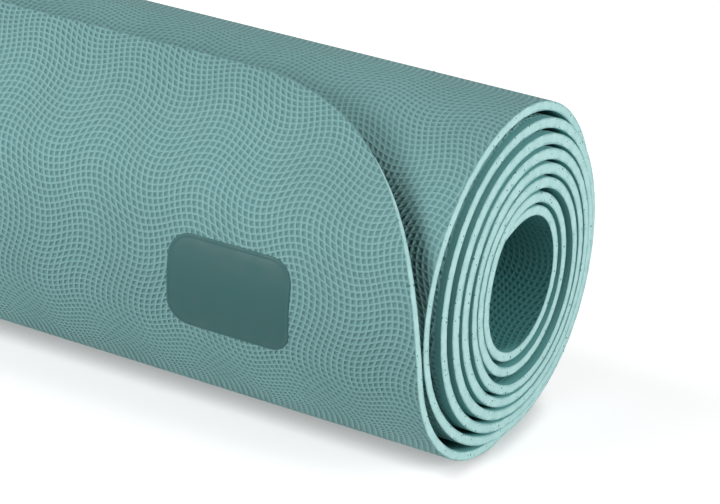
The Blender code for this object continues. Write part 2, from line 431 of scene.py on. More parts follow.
@dataclass(frozen=True)
class WavyNet:
    """The emboss: a square net whose lines swing to and fro across the sheet and along it."""

    pitch: float = 1.86 * MM
    round_wave: float = 2.7 * MM
    round_period: float = 41.2 * MM
    round_start: float = 8.3 * MM
    round_askew: float = 0.065
    long_wave: float = 2.4 * MM
    long_period: float = 34.0 * MM
    long_start: float = 274.1 * MM
    long_askew: float = 0.0
    relief: float = 0.13 * MM
    ridge_sag: float = 0.02 * MM
    rim_relief: float = 0.04 * MM
    settle_rounds: int = 12

    def round_shift(self, along: np.ndarray) -> np.ndarray:
        """Swing across the sheet of the lines that run round the roll."""
        swing = self.round_wave * np.sin(FULL_TURN * (along - self.round_start) / self.round_period)
        return swing + self.round_askew * along

    def long_shift(self, across: np.ndarray) -> np.ndarray:
        """Swing along the sheet of the lines that run the length of the roll."""
        swing = self.long_wave * np.sin(FULL_TURN * (across - self.long_start) / self.long_period)
        return swing + self.long_askew * across

    def crossing(self, column: np.ndarray, row: np.ndarray) -> tuple[np.ndarray, np.ndarray]:
        """Places of the net's points on the flat sheet.

        Args:
            column: Line number across, in cells.
            row: Line number along, in cells.

        Returns:
            Places across and along, in metres.
        """
        across, along = column * self.pitch, row * self.pitch
        for _ in range(self.settle_rounds):
            across, along = (
                column * self.pitch + self.round_shift(along),
                row * self.pitch + self.long_shift(across),
            )
        return across, along

    def depth(self, column: np.ndarray, row: np.ndarray) -> np.ndarray:
        """Relief below the face at half-cell steps: nothing at a crossing, most in a cell's middle.

        Args:
            column: Line numbers across, in cells.
            row: Line numbers along, in cells.

        Returns:
            The depths.
        """
        in_column = (np.round(column * 2) % 2).astype(bool)
        in_row = (np.round(row * 2) % 2).astype(bool)
        return np.where(in_column & in_row, self.relief, np.where(in_column | in_row, self.ridge_sag, 0.0))


@dataclass(frozen=True)
class RimProfile:
    """The cut edge of the sheet: skins with a fine lip, and foam between them."""

    inset: float = 0.25 * MM
    outs: tuple[float, ...] = (0.15, 0.25, 0.25, 0.20, 0.23, 0.20, 0.25, 0.25, 0.15)
    depths: tuple[float, ...] = (0.05, 0.15, 0.40, 0.47, 1.325, 2.18, 2.25, 2.50, 2.60)
    foam_rings: tuple[int, int] = (1, 9)
    swollen: tuple[float, ...] = (0.0, 0.0, 0.1, 0.2, 0.5, 0.8, 0.9, 1.0, 1.0)
    wobble: float = 0.05 * MM
    quick_periods: Span = (7.3 * MM, 31.1 * MM)
    quick_share: float = 0.6
    slow_period: float = 45.7 * MM
    slow_start: float = 1.3
    slow_share: float = 0.4

    def wavering(self, along: np.ndarray) -> np.ndarray:
        """Slight waver that the blade left, by the place along the edge.

        Args:
            along: Places along the edge.

        Returns:
            How far the edge lies out there, which is never above zero.
        """
        first, second = (np.sin(along * FULL_TURN / period) for period in self.quick_periods)
        slow = np.sin(along * FULL_TURN / self.slow_period + self.slow_start)
        return -self.wobble * (1 + self.quick_share * first * second + self.slow_share * slow) / 2

    def layer(self, ring: int) -> Layer:
        """Layer that a ring of the edge belongs to, counted from the face."""
        first, last = self.foam_rings
        return Layer.FACE if ring < first else Layer.FOAM if ring < last else Layer.BACK


class SheetGroup:
    """Shader node group that reads the sheet's own map."""

    def __init__(self, name: str, inputs: dict[str, float]) -> None:
        """Start the group.

        Args:
            name: The group's name.
            inputs: Default of each input after the map, by name.
        """
        self.tree = bpy.data.node_groups.new(name, "ShaderNodeTree")
        face = self.tree.interface
        face.new_socket(name="Sheet", in_out="INPUT", socket_type="NodeSocketVector")
        for title, value in inputs.items():
            face.new_socket(name=title, in_out="INPUT", socket_type="NodeSocketFloat").default_value = value
        self.bench = NodeBench(self.tree)
        self.given = self.bench.add("NodeGroupInput").outputs

    def close(self, **results: Any) -> None:
        """Name the group's outputs, and feed them."""
        for title in results:
            self.tree.interface.new_socket(name=title, in_out="OUTPUT", socket_type="NodeSocketFloat")
        self.bench.add("NodeGroupOutput", results)

    def used(self, bench: NodeBench, inputs: dict[str, Any]) -> Any:
        """Outputs of the group where a material uses it."""
        return bench.add("ShaderNodeGroup", inputs, node_tree=self.tree).outputs


class NetGroup(SheetGroup):
    """Masks and height of the wavy net, with the net's sizes as the defaults of the inputs."""

    sets: tuple[str, ...] = ("round", "long")
    set_sizes: tuple[str, ...] = ("wave", "period", "start", "askew")
    ridge_edge: Span = (0.07, 0.20)
    pit_edge: Span = (0.24, 0.42)
    height_edge: Span = (0.05, 0.40)
    corner_round: float = 0.16
    crumb_scale: float = 900.0
    crumb_share: float = 0.14

    def __init__(self, net: WavyNet) -> None:
        """Build the group once.

        Args:
            net: The sizes.
        """
        names = ["pitch", *[f"{way}_{size}" for way in self.sets for size in self.set_sizes]]
        super().__init__("wavy_net", {name.replace("_", " ").title(): getattr(net, name) for name in names})
        bench = self.bench
        flat = bench.parts(self.given["Sheet"])
        across = self.cells(flat[0], flat[1], "Round")
        along = self.cells(flat[1], flat[0], "Long")
        to_lines = [bench.math("PINGPONG", place, 0.5) for place in (across, along)]
        near = bench.math("SMOOTH_MIN", *to_lines, self.corner_round)
        crumb = bench.math("SUBTRACT", bench.noise(self.given["Sheet"], self.crumb_scale, 2.0), 0.5)
        ragged = bench.math("MULTIPLY_ADD", crumb, self.crumb_share, near)
        number = bench.joined(bench.math("FLOOR", across), bench.math("FLOOR", along))
        # Ridge and Pit place the painted light on the ridges and the painted shade in the pits.
        self.close(
            Ridge=bench.ramp(ragged, *self.ridge_edge, 1.0, 0.0),
            Pit=bench.ramp(ragged, *self.pit_edge),
            Height=bench.ramp(near, *self.height_edge, 1.0, 0.0),
            Cell=bench.add("ShaderNodeTexWhiteNoise", {"Vector": number}).outputs["Value"],
        )

    def cells(self, place: Any, other: Any, name: str) -> Any:
        """Place counted in cells of the net, whole on each line of one of the two sets.

        Args:
            place: The coordinate that the lines divide.
            other: The coordinate that they swing along.
            name: Round or Long.

        Returns:
            The output socket.
        """
        bench, given = self.bench, self.given
        phase = bench.math("SUBTRACT", other, given[f"{name} Start"])
        phase = bench.math("DIVIDE", phase, given[f"{name} Period"])
        swing = bench.math("SINE", bench.math("MULTIPLY", phase, FULL_TURN))
        swing = bench.math("MULTIPLY", swing, given[f"{name} Wave"])
        swing = bench.math("MULTIPLY_ADD", other, given[f"{name} Askew"], swing)
        return bench.math("DIVIDE", bench.math("SUBTRACT", place, swing), given["Pitch"])


class MottleGroup(SheetGroup):
    """The slow and the fine unevenness of moulded foam."""

    cloud_edge: Span = (0.25, 0.75)

    def __init__(self) -> None:
        """Build the group once."""
        super().__init__("foam_mottle", {"Cloud Scale": 22.0, "Grain Scale": 4200.0})
        sheet = self.given["Sheet"]
        cloud = self.bench.noise(sheet, self.given["Cloud Scale"], 3.0, 0.55)
        grain = self.bench.noise(sheet, self.given["Grain Scale"], 2.0, 0.6)
        self.close(Cloud=self.bench.ramp(cloud, *self.cloud_edge), Grain=grain)


def new_material(name: str) -> tuple[bpy.types.Material, NodeBench]:
    """Make a material with nodes, and a bench for them.

    Args:
        name: Its name.

    Returns:
        The material and the bench.
    """
    material = bpy.data.materials.new(name)
    material.use_nodes = True
    return material, NodeBench(material.node_tree)


@dataclass(frozen=True)
class Finish:
    """What every finish of the mat shares: a name, and a shader that reads the sheet's own map."""

    name: str
    roughness: Span = (0.90, 0.90)
    specular: float = 0.5
    cloud_scale: float = 22.0
    grain_scale: float = 4200.0

    def begin(self) -> tuple[bpy.types.Material, NodeBench, Any]:
        """Make the material.

        Returns:
            The material, its bench and the sheet's map.
        """
        material, bench = new_material(self.name)
        return material, bench, bench.add("ShaderNodeUVMap", uv_map="sheet").outputs[0]

    def mottled(self, mottle: MottleGroup, bench: NodeBench, sheet: Any) -> Any:
        """The foam's unevenness at the finish's own scales."""
        scales = {"Cloud Scale": self.cloud_scale, "Grain Scale": self.grain_scale}
        return mottle.used(bench, {"Sheet": sheet, **scales})

    def end(self, bench: NodeBench, colour: Any, rough: Any, **more: Any) -> None:
        """Feed the material's shader.

        Args:
            bench: The material's bench.
            colour: Its colour.
            rough: How far it is from the first roughness to the second.
            more: Other inputs of the shader.
        """
        inputs = {
            "Base Color": colour,
            "Roughness": bench.ramp(rough, 0.0, 1.0, *self.roughness),
            "Specular IOR Level": self.specular,
        }
        bench.dress("Principled BSDF", {**inputs, **more})


@dataclass(frozen=True)
class SkinFinish(Finish):
    """Embossed foam skin: lighter ridges round darker pits, as painted light and painted shade of the relief,
    and pale painted light near the cut side edges.
    """

    roughness: Span = (0.80, 0.62)
    specular: float = 0.25
    ridge_painted_light: Colour = paint(124, 168, 168)
    wall: Colour = paint(111, 156, 156)
    pit_painted_shade: Colour = paint(93, 138, 137)
    pit_shade_shares: Span = (0.6, 1.0)
    cloud_levels: Span = (0.96, 1.03)
    grain_edge: Span = (0.2, 0.8)
    grain_levels: Span = (0.94, 1.06)
    grain_bump: float = 0.03 * MM
    bump: float = 0.50 * MM
    painted_gap_light: Colour = paint(134, 208, 206)
    painted_gap_light_strength: float = 0.9
    painted_gap_light_depth: float = 4.0 * MM
    painted_gap_light_lengths: Span = (440 * MM, 2000 * MM)
    painted_gap_light_fade: float = 20 * MM
    half_width: float = 305 * MM

    def make(self, net: NetGroup, mottle: MottleGroup) -> bpy.types.Material:
        """Make the material.

        Args:
            net: The net's masks and height.
            mottle: The foam's unevenness.

        Returns:
            The material.
        """
        material, bench, sheet = self.begin()
        lines, foam = net.used(bench, {"Sheet": sheet}), self.mottled(mottle, bench, sheet)
        # Painted shade and light: the pits' colour is darker, by a random share in each cell, and the ridges'
        # colour is lighter.
        painted_pit_shade = bench.math("MULTIPLY", lines["Pit"], bench.ramp(lines["Cell"], 0.0, 1.0, *self.pit_shade_shares))
        colour = bench.blend(lines["Ridge"], bench.blend(painted_pit_shade, self.wall, self.pit_painted_shade), self.ridge_painted_light)
        # Painted light: the skin's colour turns pale near the cut side edges, between the turns.
        painted_gap_light = self.painted_gap_light_mask(bench, sheet)
        colour = bench.blend(painted_gap_light, colour, self.painted_gap_light)
        cloud = bench.ramp(foam["Cloud"], 0.0, 1.0, *self.cloud_levels)
        shade = bench.math("MULTIPLY", cloud, bench.ramp(foam["Grain"], *self.grain_edge, *self.grain_levels))
        tint = bench.add("ShaderNodeCombineColor", {0: shade, 1: shade, 2: shade}).outputs[0]
        relief = bench.math("MULTIPLY", lines["Height"], bench.ramp(painted_gap_light, 0.0, 0.5, 1.0, 0.0))
        fine = bench.bump(foam["Grain"], self.grain_bump, 0.5)
        normal = bench.bump(relief, self.bump, 1.0, Normal=fine)
        self.end(bench, bench.blend(1.0, colour, tint, "MULTIPLY"), lines["Height"], Normal=normal)
        return material

    def painted_gap_light_mask(self, bench: NodeBench, sheet: Any) -> Any:
        """Share of the pale painted light on the skin near the cut side edges, standing in for light that
        comes in through the foam's cut side edges between the turns.

        Args:
            bench: The material's bench.
            sheet: The sheet's map.

        Returns:
            The output socket.
        """
        flat = bench.parts(sheet)
        near = self.half_width - self.painted_gap_light_depth
        edge = bench.ramp(bench.math("ABSOLUTE", flat[0]), near, self.half_width, 0.0, self.painted_gap_light_strength)
        first, last = self.painted_gap_light_lengths
        begun = bench.ramp(flat[1], first, first + self.painted_gap_light_fade)
        left = bench.ramp(flat[1], last, last + self.painted_gap_light_fade, 1.0, 0.0)
        return bench.math("MULTIPLY", edge, bench.math("MULTIPLY", begun, left))


@dataclass(frozen=True)
class FoamFinish(Finish):
    """Cut foam: pale, finely cellular, with a few open pores that painted shade darkens."""

    roughness: Span = (0.80, 0.90)
    specular: float = 0.3
    light: Colour = paint(184, 222, 220)
    dark: Colour = paint(164, 206, 204)
    pore_shade: Colour = paint(104, 154, 152)
    skin: Colour = paint(122, 170, 169)
    skin_depths: Span = (0.12 * MM, 0.62 * MM)
    skin_share: float = 0.75
    skin_ragged: float = 0.45 * MM
    thickness: float = 2.65 * MM
    cloud_scale: float = 260.0
    grain_scale: float = 5200.0
    cell_scale: float = 1500.0
    cells_open: Span = (0.82, 0.90)
    hole_edge: Span = (0.16, 0.34)
    pore_shade_share: float = 0.55
    bump: float = 0.08 * MM

    def make(self, mottle: MottleGroup) -> bpy.types.Material:
        """Make the material.

        Args:
            mottle: The foam's unevenness.

        Returns:
            The material.
        """
        material, bench, sheet = self.begin()
        foam = self.mottled(mottle, bench, sheet)
        cells = bench.add("ShaderNodeTexVoronoi", {"Vector": sheet, "Scale": self.cell_scale}).outputs
        chance = bench.add("ShaderNodeSeparateColor", {0: cells["Color"]}).outputs[0]
        hole = bench.ramp(cells["Distance"], *self.hole_edge, 1.0, 0.0)
        hole = bench.math("MULTIPLY", hole, bench.ramp(chance, *self.cells_open))
        mixed = bench.math("MULTIPLY_ADD", foam["Cloud"], 0.6, bench.math("MULTIPLY", foam["Grain"], 0.4))
        inner = bench.blend(mixed, self.dark, self.light)
        depth = bench.parts(sheet)[1]
        depth = bench.math("MINIMUM", depth, bench.math("SUBTRACT", self.thickness, depth))
        uneven = bench.math("SUBTRACT", foam["Cloud"], 0.5)
        ragged = bench.math("MULTIPLY_ADD", uneven, self.skin_ragged, depth)
        body = bench.blend(bench.ramp(ragged, *self.skin_depths, self.skin_share, 0.0), inner, self.skin)
        # Painted shade: the colour darkens in the open pores.
        colour = bench.blend(bench.math("MULTIPLY", hole, self.pore_shade_share), body, self.pore_shade)
        height = bench.math("MULTIPLY_ADD", foam["Grain"], 0.5, bench.math("MULTIPLY", hole, -1.0))
        self.end(bench, colour, foam["Cloud"], Normal=bench.bump(height, self.bump, 0.6))
        return material


@dataclass(frozen=True)
class PoreShadeFinish(Finish):
    """The painted shade inside an open pore in the cut foam."""

    dark: Colour = paint(34, 80, 79)
    light: Colour = paint(84, 134, 132)
    cloud_scale: float = 240.0
    cloud_edge: Span = (0.35, 0.65)

    def make(self) -> bpy.types.Material:
        """Make the material, which reads Object coordinates because the pores have no map.

        Returns:
            The material.
        """
        material, bench, _ = self.begin()
        place = bench.add("ShaderNodeTexCoord").outputs["Object"]
        cloud = bench.ramp(bench.noise(place, self.cloud_scale, 1.0), *self.cloud_edge)
        self.end(bench, bench.blend(cloud, self.dark, self.light), 0.0)
        return material


@dataclass(frozen=True)
class PatchFinish(Finish):
    """Smooth pressed foam, darker and a little silky."""

    roughness: Span = (0.50, 0.62)
    specular: float = 0.4
    dark: Colour = paint(32, 81, 81)
    light: Colour = paint(38, 88, 87)
    cloud_scale: float = 180.0
    grain_scale: float = 3000.0
    bump: float = 0.04 * MM

    def make(self, mottle: MottleGroup) -> bpy.types.Material:
        """Make the material.

        Args:
            mottle: The foam's unevenness.

        Returns:
            The material.
        """
        material, bench, sheet = self.begin()
        foam = self.mottled(mottle, bench, sheet)
        mixed = bench.math("MULTIPLY_ADD", foam["Cloud"], 0.5, bench.math("MULTIPLY", foam["Grain"], 0.5))
        normal = bench.bump(foam["Grain"], self.bump, 0.5)
        self.end(bench, bench.blend(mixed, self.dark, self.light), foam["Cloud"], Normal=normal)
        return material


@dataclass
class FinishSet:
    """All finishes of the mat, and the node groups that they share."""

    net: WavyNet
    face: bpy.types.Material = field(init=False)
    foam: bpy.types.Material = field(init=False)
    back: bpy.types.Material = field(init=False)
    pore_shade: bpy.types.Material = field(init=False)
    patch: bpy.types.Material = field(init=False)

    def __post_init__(self) -> None:
        """Make every material once."""
        net, mottle = NetGroup(self.net), MottleGroup()
        self.face = SkinFinish("embossed_face").make(net, mottle)
        # The back skin is the face's skin in darker colours with less bump: painted shade for the bore and
        # the gaps between the turns.
        self.back = SkinFinish(
            "embossed_back",
            ridge_painted_light=paint(86, 148, 147),
            wall=paint(72, 136, 135),
            pit_painted_shade=paint(62, 127, 126),
            bump=0.12 * MM,
            painted_gap_light_lengths=(0.0, 1750 * MM),
        ).make(net, mottle)
        self.foam = FoamFinish("cut_foam").make(mottle)
        self.pore_shade = PoreShadeFinish("open_pore").make()
        self.patch = PatchFinish("pressed_foam").make(mottle)


class ShapeTree:
    """A Geometry Nodes tree with named inputs, and its use on an object."""

    def __init__(self, name: str, inputs: Sequence[tuple[str, str]]) -> None:
        """Start the tree.

        Args:
            name: The tree's name.
            inputs: Name and socket type of each input after the geometry.
        """
        self.tree = bpy.data.node_groups.new(name, "GeometryNodeTree")
        face = self.tree.interface
        face.new_socket(name="Geometry", in_out="INPUT", socket_type="NodeSocketGeometry")
        face.new_socket(name="Geometry", in_out="OUTPUT", socket_type="NodeSocketGeometry")
        self.keys = {
            title: face.new_socket(name=title, in_out="INPUT", socket_type=kind).identifier
            for title, kind in inputs
        }
        self.bench = NodeBench(self.tree)
        self.given = self.bench.add("NodeGroupInput").outputs

    def close(self, geometry: Any, materials: Sequence[tuple[Any, Any]]) -> None:
        """End the tree in Realize Instances and Set Material.

        Args:
            geometry: What the tree has made.
            materials: Material socket and face selection, or None for all faces, of each Set Material.
        """
        last = self.bench.add("GeometryNodeRealizeInstances", {0: geometry}).outputs[0]
        for material, chosen in materials:
            node = self.bench.add("GeometryNodeSetMaterial", {"Geometry": last, "Material": material})
            if chosen is not None:
                self.bench.feed(node.inputs["Selection"], chosen)
            last = node.outputs[0]
        self.bench.feed(self.bench.add("NodeGroupOutput").inputs[0], last)

    def on_layer(self, layer: Layer) -> Any:
        """Selection of the faces of one layer.

        Args:
            layer: The layer.

        Returns:
            The output socket.
        """
        named = self.bench.add("GeometryNodeInputNamedAttribute", {"Name": "layer"}, data_type="INT")
        node = self.bench.add("FunctionNodeCompare", data_type="INT", operation="EQUAL")
        for socket, value in zip(self.shown(node.inputs), (named.outputs[0], int(layer))):
            self.bench.feed(socket, value)
        return node.outputs[0]

    @staticmethod
    def shown(sockets: Any) -> list[bpy.types.NodeSocket]:
        """Sockets that the node's settings leave in use."""
        return [socket for socket in sockets if socket.enabled]

    def apply(self, piece: bpy.types.Object, values: dict[str, Any]) -> bpy.types.Object:
        """Run the tree on a piece, and leave the result as its plain mesh.

        Args:
            piece: The object whose mesh goes in.
            values: Inputs by name.

        Returns:
            The same object.
        """
        modifier = piece.modifiers.new(self.tree.name, "NODES")
        modifier.node_group = self.tree
        for title, value in values.items():
            modifier[self.keys[title]] = value
        bpy.context.view_layer.update()
        graph = bpy.context.evaluated_depsgraph_get()
        made = bpy.data.meshes.new_from_object(
            piece.evaluated_get(graph), preserve_all_data_layers=True, depsgraph=graph
        )
        piece.modifiers.remove(modifier)
        flat = piece.data
        piece.data = made
        made.name = piece.name
        bpy.data.meshes.remove(flat)
        return piece


class WindTree(ShapeTree):
    """Winds flat pieces of the sheet along the winding path.

    A flat point's first coordinate stays the place across the sheet, its second becomes the distance
    along the path, and its third the height above the middle of the sheet's thickness.
    """

    def __init__(self, winding: Winding) -> None:
        """Build the tree and the path.

        Args:
            winding: How the sheet is wound.
        """
        inputs = [("Path", "NodeSocketObject"), ("Lead", "NodeSocketFloat")]
        materials = [(layer.name.title(), "NodeSocketMaterial") for layer in Layer]
        super().__init__("wind_sheet", inputs + materials)
        bench, given = self.bench, self.given
        flat = bench.parts(bench.add("GeometryNodeInputPosition").outputs[0])
        path = bench.add("GeometryNodeObjectInfo", {"Object": given["Path"]}).outputs["Geometry"]
        read = {"Curves": path, "Length": bench.math("ADD", flat[1], given["Lead"])}
        sample = bench.add("GeometryNodeSampleCurve", read, mode="LENGTH").outputs
        side = bench.vector("CROSS_PRODUCT", sample["Tangent"], (1.0, 0.0, 0.0))
        up = {0: bench.vector("NORMALIZE", side), "Scale": flat[2]}
        rise = bench.add("ShaderNodeVectorMath", up, operation="SCALE").outputs[0]
        place = bench.vector("ADD", sample["Position"], rise)
        place = bench.vector("ADD", place, bench.joined(flat[0]))
        wound = bench.add("GeometryNodeSetPosition", {"Geometry": given["Geometry"], "Position": place})
        self.close(wound.outputs[0], [(given[layer.name.title()], self.on_layer(layer)) for layer in Layer])
        self.lead = winding.lead
        self.path = self.make_path(winding)

    @staticmethod
    def make_path(winding: Winding) -> bpy.types.Object:
        """Make the curve that the sheet is wound along.

        Args:
            winding: How the sheet is wound.

        Returns:
            The curve's object.
        """
        points = winding.path_points()
        points = np.column_stack([points, np.ones(len(points))]).astype(np.float32)
        curve = bpy.data.curves.new("winding_path", "CURVE")
        curve.dimensions = "3D"
        spline = curve.splines.new("POLY")
        spline.points.add(len(points) - 1)
        spline.points.foreach_set("co", points.ravel())
        return add_object("winding_path", curve)

    def wind(self, piece: bpy.types.Object, *materials: bpy.types.Material) -> bpy.types.Object:
        """Wind a flat piece, with a material for its face, its foam and its back."""
        dressed = {layer.name.title(): material for layer, material in zip(Layer, materials)}
        return self.apply(piece, {"Path": self.path, "Lead": self.lead, **dressed})

    def clear(self) -> None:
        """Take the path out of the scene."""
        bpy.data.objects.remove(self.path, do_unlink=True)


class PoreTree(ShapeTree):
    """Scatters small open pores over the cut foam of a wound piece."""

    def __init__(self) -> None:
        """Build the tree."""
        sizes = ("Density", "Least Radius", "Most Radius", "Flatness")
        inputs = [(name, "NodeSocketFloat") for name in sizes]
        inputs += [("Seed", "NodeSocketInt"), ("Pore", "NodeSocketMaterial")]
        super().__init__("scatter_pores", inputs)
        bench, given = self.bench, self.given
        where = {"Mesh": given["Geometry"], "Selection": self.on_layer(Layer.FOAM)}
        where.update({name: given[name] for name in ("Density", "Seed")})
        spread = bench.add("GeometryNodeDistributePointsOnFaces", where, distribute_method="RANDOM")
        ball = bench.add("GeometryNodeMeshIcoSphere", {"Radius": 1.0, "Subdivisions": 1}).outputs[0]
        size = bench.add("FunctionNodeRandomValue", {"Seed": given["Seed"]}, data_type="FLOAT")
        for socket, name in zip(self.shown(size.inputs), ("Least Radius", "Most Radius")):
            bench.feed(socket, given[name])
        radius = self.shown(size.outputs)[0]
        scale = bench.joined(radius, radius, bench.math("MULTIPLY", radius, given["Flatness"]))
        spots = {name: spread.outputs[name] for name in ("Points", "Rotation")}
        placed = bench.add("GeometryNodeInstanceOnPoints", {**spots, "Instance": ball, "Scale": scale})
        # The scattered flat balls carry the painted shade inside the pores.
        self.close(placed.outputs[0], [(given["Pore"], None)])


@dataclass
class FlatMesh:
    """Arrays of a closed mesh that is still flat: across, along, and height above mid-thickness."""

    points: list[np.ndarray] = field(default_factory=list)
    faces: list[np.ndarray] = field(default_factory=list)
    layers: list[np.ndarray] = field(default_factory=list)
    maps: list[np.ndarray] = field(default_factory=list)
    bakes: list[np.ndarray] = field(default_factory=list)
    count: int = 0

    def add_points(self, points: np.ndarray) -> int:
        """Add points.

        Args:
            points: One row for each point.

        Returns:
            Number of the first one.
        """
        first = self.count
        self.points.append(points)
        self.count += len(points)
        return first

    def add_faces(self, faces: np.ndarray, layer: Layer, sheet: np.ndarray, bake: np.ndarray) -> None:
        """Add faces that all have the same number of corners.

        Args:
            faces: Point numbers, one row for each face.
            layer: Which part of the sheet's surface they are.
            sheet: The sheet's own map, one pair for each corner.
            bake: The map for baking, one pair for each corner.
        """
        if len(faces):
            self.faces.append(faces)
            self.layers.append(np.full(len(faces), int(layer), np.int32))
            self.maps.append(sheet.reshape(-1, 2))
            self.bakes.append(bake.reshape(-1, 2))

    def build(self, name: str) -> bpy.types.Object:
        """Make the mesh and its object.

        Args:
            name: The piece's name.

        Returns:
            The object.
        """
        points = np.concatenate(self.points)
        corners = np.concatenate([faces.ravel() for faces in self.faces])
        sizes = np.concatenate([np.full(len(faces), faces.shape[1]) for faces in self.faces])
        mesh = bpy.data.meshes.new(name)
        mesh.vertices.add(len(points))
        mesh.vertices.foreach_set("co", points.astype(np.float32).ravel())
        mesh.loops.add(len(corners))
        mesh.loops.foreach_set("vertex_index", corners.astype(np.int32))
        mesh.polygons.add(len(sizes))
        mesh.polygons.foreach_set("loop_start", np.concatenate([[0], np.cumsum(sizes)[:-1]]).astype(np.int32))
        mesh.update(calc_edges=True)
        mesh.polygons.foreach_set("use_smooth", np.ones(len(sizes), bool))
        mesh.attributes.new("layer", "INT", "FACE").data.foreach_set("value", np.concatenate(self.layers))
        for title, pairs in (("sheet", self.maps), ("OFBake", self.bakes)):
            uv = mesh.uv_layers.new(name=title)
            uv.data.foreach_set("uv", np.concatenate(pairs).astype(np.float32).ravel())
        return add_object(name, mesh)


@dataclass
class FacePlan:
    """The face of a stretch, cut to the sheet's outline, before it gets its back and its edges.

    The quads name points, each quad has the number of its strip of the baking map, and each point has
    its place on the flat sheet, its relief, and whether it lies on a seam or on a straight cut.
    """

    flat: np.ndarray
    depth: np.ndarray
    quads: np.ndarray
    strip: np.ndarray
    on_seam: np.ndarray
    on_cut: np.ndarray


@dataclass
class Stretch:
    """One stretch of the sheet, from one distance along it to another."""

    name: str
    winding: Winding
    net: WavyNet
    rim: RimProfile
    start: float
    end: float
    grid: Grid = Grid.NET
    cut_start: bool = False
    cut_end: bool = False
    plain_columns: int = 14
    plain_row: float = 1.2 * MM
    strips: int = 3
    spacing_rounds: int = 12
    bake_edge: float = 0.955
    bake_gap: float = 0.008
    strip_margin: float = 0.002
    length_margin: float = 0.01
    band_margins: Span = (0.005, 0.08)
    wall_levels: Span = (0.003, 0.001)
    cap_step: float = 0.1 * MM
    cap_place: Span = (0.5, 0.002)
    cap_size: float = 0.001
    far_side: float = 5.0
    least_span: float = 0.01
    piece: bpy.types.Object = field(init=False)
    seam_points: np.ndarray = field(init=False)
    ring_points: np.ndarray = field(init=False)
    rings: list[np.ndarray] = field(init=False)

    def lattice(self) -> tuple[np.ndarray, np.ndarray, np.ndarray]:
        """Points of the face before it is cut to the sheet's outline.

        Returns:
            Places across and along, and the relief's depth, one row for each line along the roll.
        """
        if self.grid is Grid.PLAIN:
            edge = self.winding.width / 2 - self.rim.inset
            rows = max(2, round((self.end - self.start) / self.plain_row))
            along, across = np.meshgrid(
                np.linspace(self.start, self.end, rows + 1),
                np.linspace(-edge, edge, self.plain_columns + 1),
                indexing="ij",
            )
            return across, along, np.zeros_like(across)
        widest = self.winding.width / 2 + 2 * self.net.round_wave
        first = math.floor((-widest - self.net.round_askew * self.end) / self.net.pitch)
        last = math.ceil((widest - self.net.round_askew * self.start) / self.net.pitch)
        columns = np.arange(2 * first, 2 * last + 1) / 2
        first = self.row_number(self.start, self.cut_start, -1)
        last = self.row_number(self.end, self.cut_end, 1)
        row, column = np.meshgrid(np.arange(first, last + 1) / 2, columns, indexing="ij")
        across, along = self.net.crossing(column, row)
        return across, along, self.net.depth(column, row)

    def row_number(self, length: float, cut: bool, way: int) -> int:
        """Half-cell row nearest to a distance along the sheet, or one well past it where the sheet ends.

        Args:
            length: The distance.
            cut: Whether a straight cut ends the stretch there.
            way: Minus one at the stretch's start, and one at its end.

        Returns:
            The row's number.
        """
        near = round(2 * length / self.net.pitch)
        past = math.ceil(4 * self.net.long_wave / self.net.pitch)
        ends = length <= 0 or length >= self.winding.length
        return near + way * past if cut or ends else near

    def past_corner(self, across: np.ndarray, along: np.ndarray) -> tuple[np.ndarray, np.ndarray, np.ndarray]:
        """How far points lie past the middle of the nearest round corner.

        Args:
            across: Places across the sheet.
            along: Places along it.

        Returns:
            The distances across and along, and whether the corner is one of the sheet's inner end.
        """
        total, radius = self.winding.length, self.winding.corner_radius
        inner = along > total / 2
        from_end = np.where(inner, total - along, along)
        return np.abs(across) - (self.winding.width / 2 - radius), radius - from_end, inner

    def outline(self, across: np.ndarray, along: np.ndarray) -> tuple[np.ndarray, ...]:
        """Distance outside the sheet's outline, and the nearest places on it.

        Args:
            across: Places across the sheet.
            along: Places along it.

        Returns:
            The distance, positive outside, the nearest places, and where a straight cut holds the point.
        """
        total, inset = self.winding.length, self.rim.inset
        half, radius = self.winding.width / 2, self.winding.corner_radius
        low = self.start if self.cut_start else inset
        high = self.end if self.cut_end else total - inset
        over_side, over_end, inner = self.past_corner(across, along)
        corner = (over_side > 0) & (over_end > 0)
        reach = np.hypot(over_side, over_end)
        beyond = np.maximum(np.abs(across) - (half - inset), np.maximum(low - along, along - high))
        distance = np.where(corner, np.maximum(reach - (radius - inset), beyond), beyond)
        near_across = np.clip(across, -(half - inset), half - inset)
        near_along = np.clip(along, low, high)
        share = (radius - inset) / np.maximum(reach, TINY)
        round_across = np.sign(across) * (half - radius + over_side * share)
        round_from = radius - over_end * share
        round_along = np.where(inner, total - round_from, round_from)
        at_corner = corner & (reach > radius - inset)
        near_across = np.where(at_corner, round_across, near_across)
        near_along = np.where(at_corner, round_along, near_along)
        held = (self.cut_start & (near_along <= low + TINY)) | (self.cut_end & (near_along >= high - TINY))
        return distance, near_across, near_along, held

    def outwards(self, across: np.ndarray, along: np.ndarray) -> np.ndarray:
        """Direction out of the sheet, on the flat, at points of its outline.

        Args:
            across: Places across the sheet.
            along: Places along it.

        Returns:
            The directions across and along.
        """
        over_side, over_end, inner = self.past_corner(across, along)
        over_side, over_end = np.maximum(over_side, 0), np.maximum(over_end, 0)
        size = np.maximum(np.hypot(over_side, over_end), TINY)
        on_side, on_end = over_end <= 0, over_side <= 0
        side = np.where(on_side, 1.0, np.where(on_end, 0.0, over_side / size))
        end = np.where(on_side, 0.0, np.where(on_end, 1.0, over_end / size))
        return np.column_stack([np.sign(across) * side, np.where(inner, 1.0, -1.0) * end])

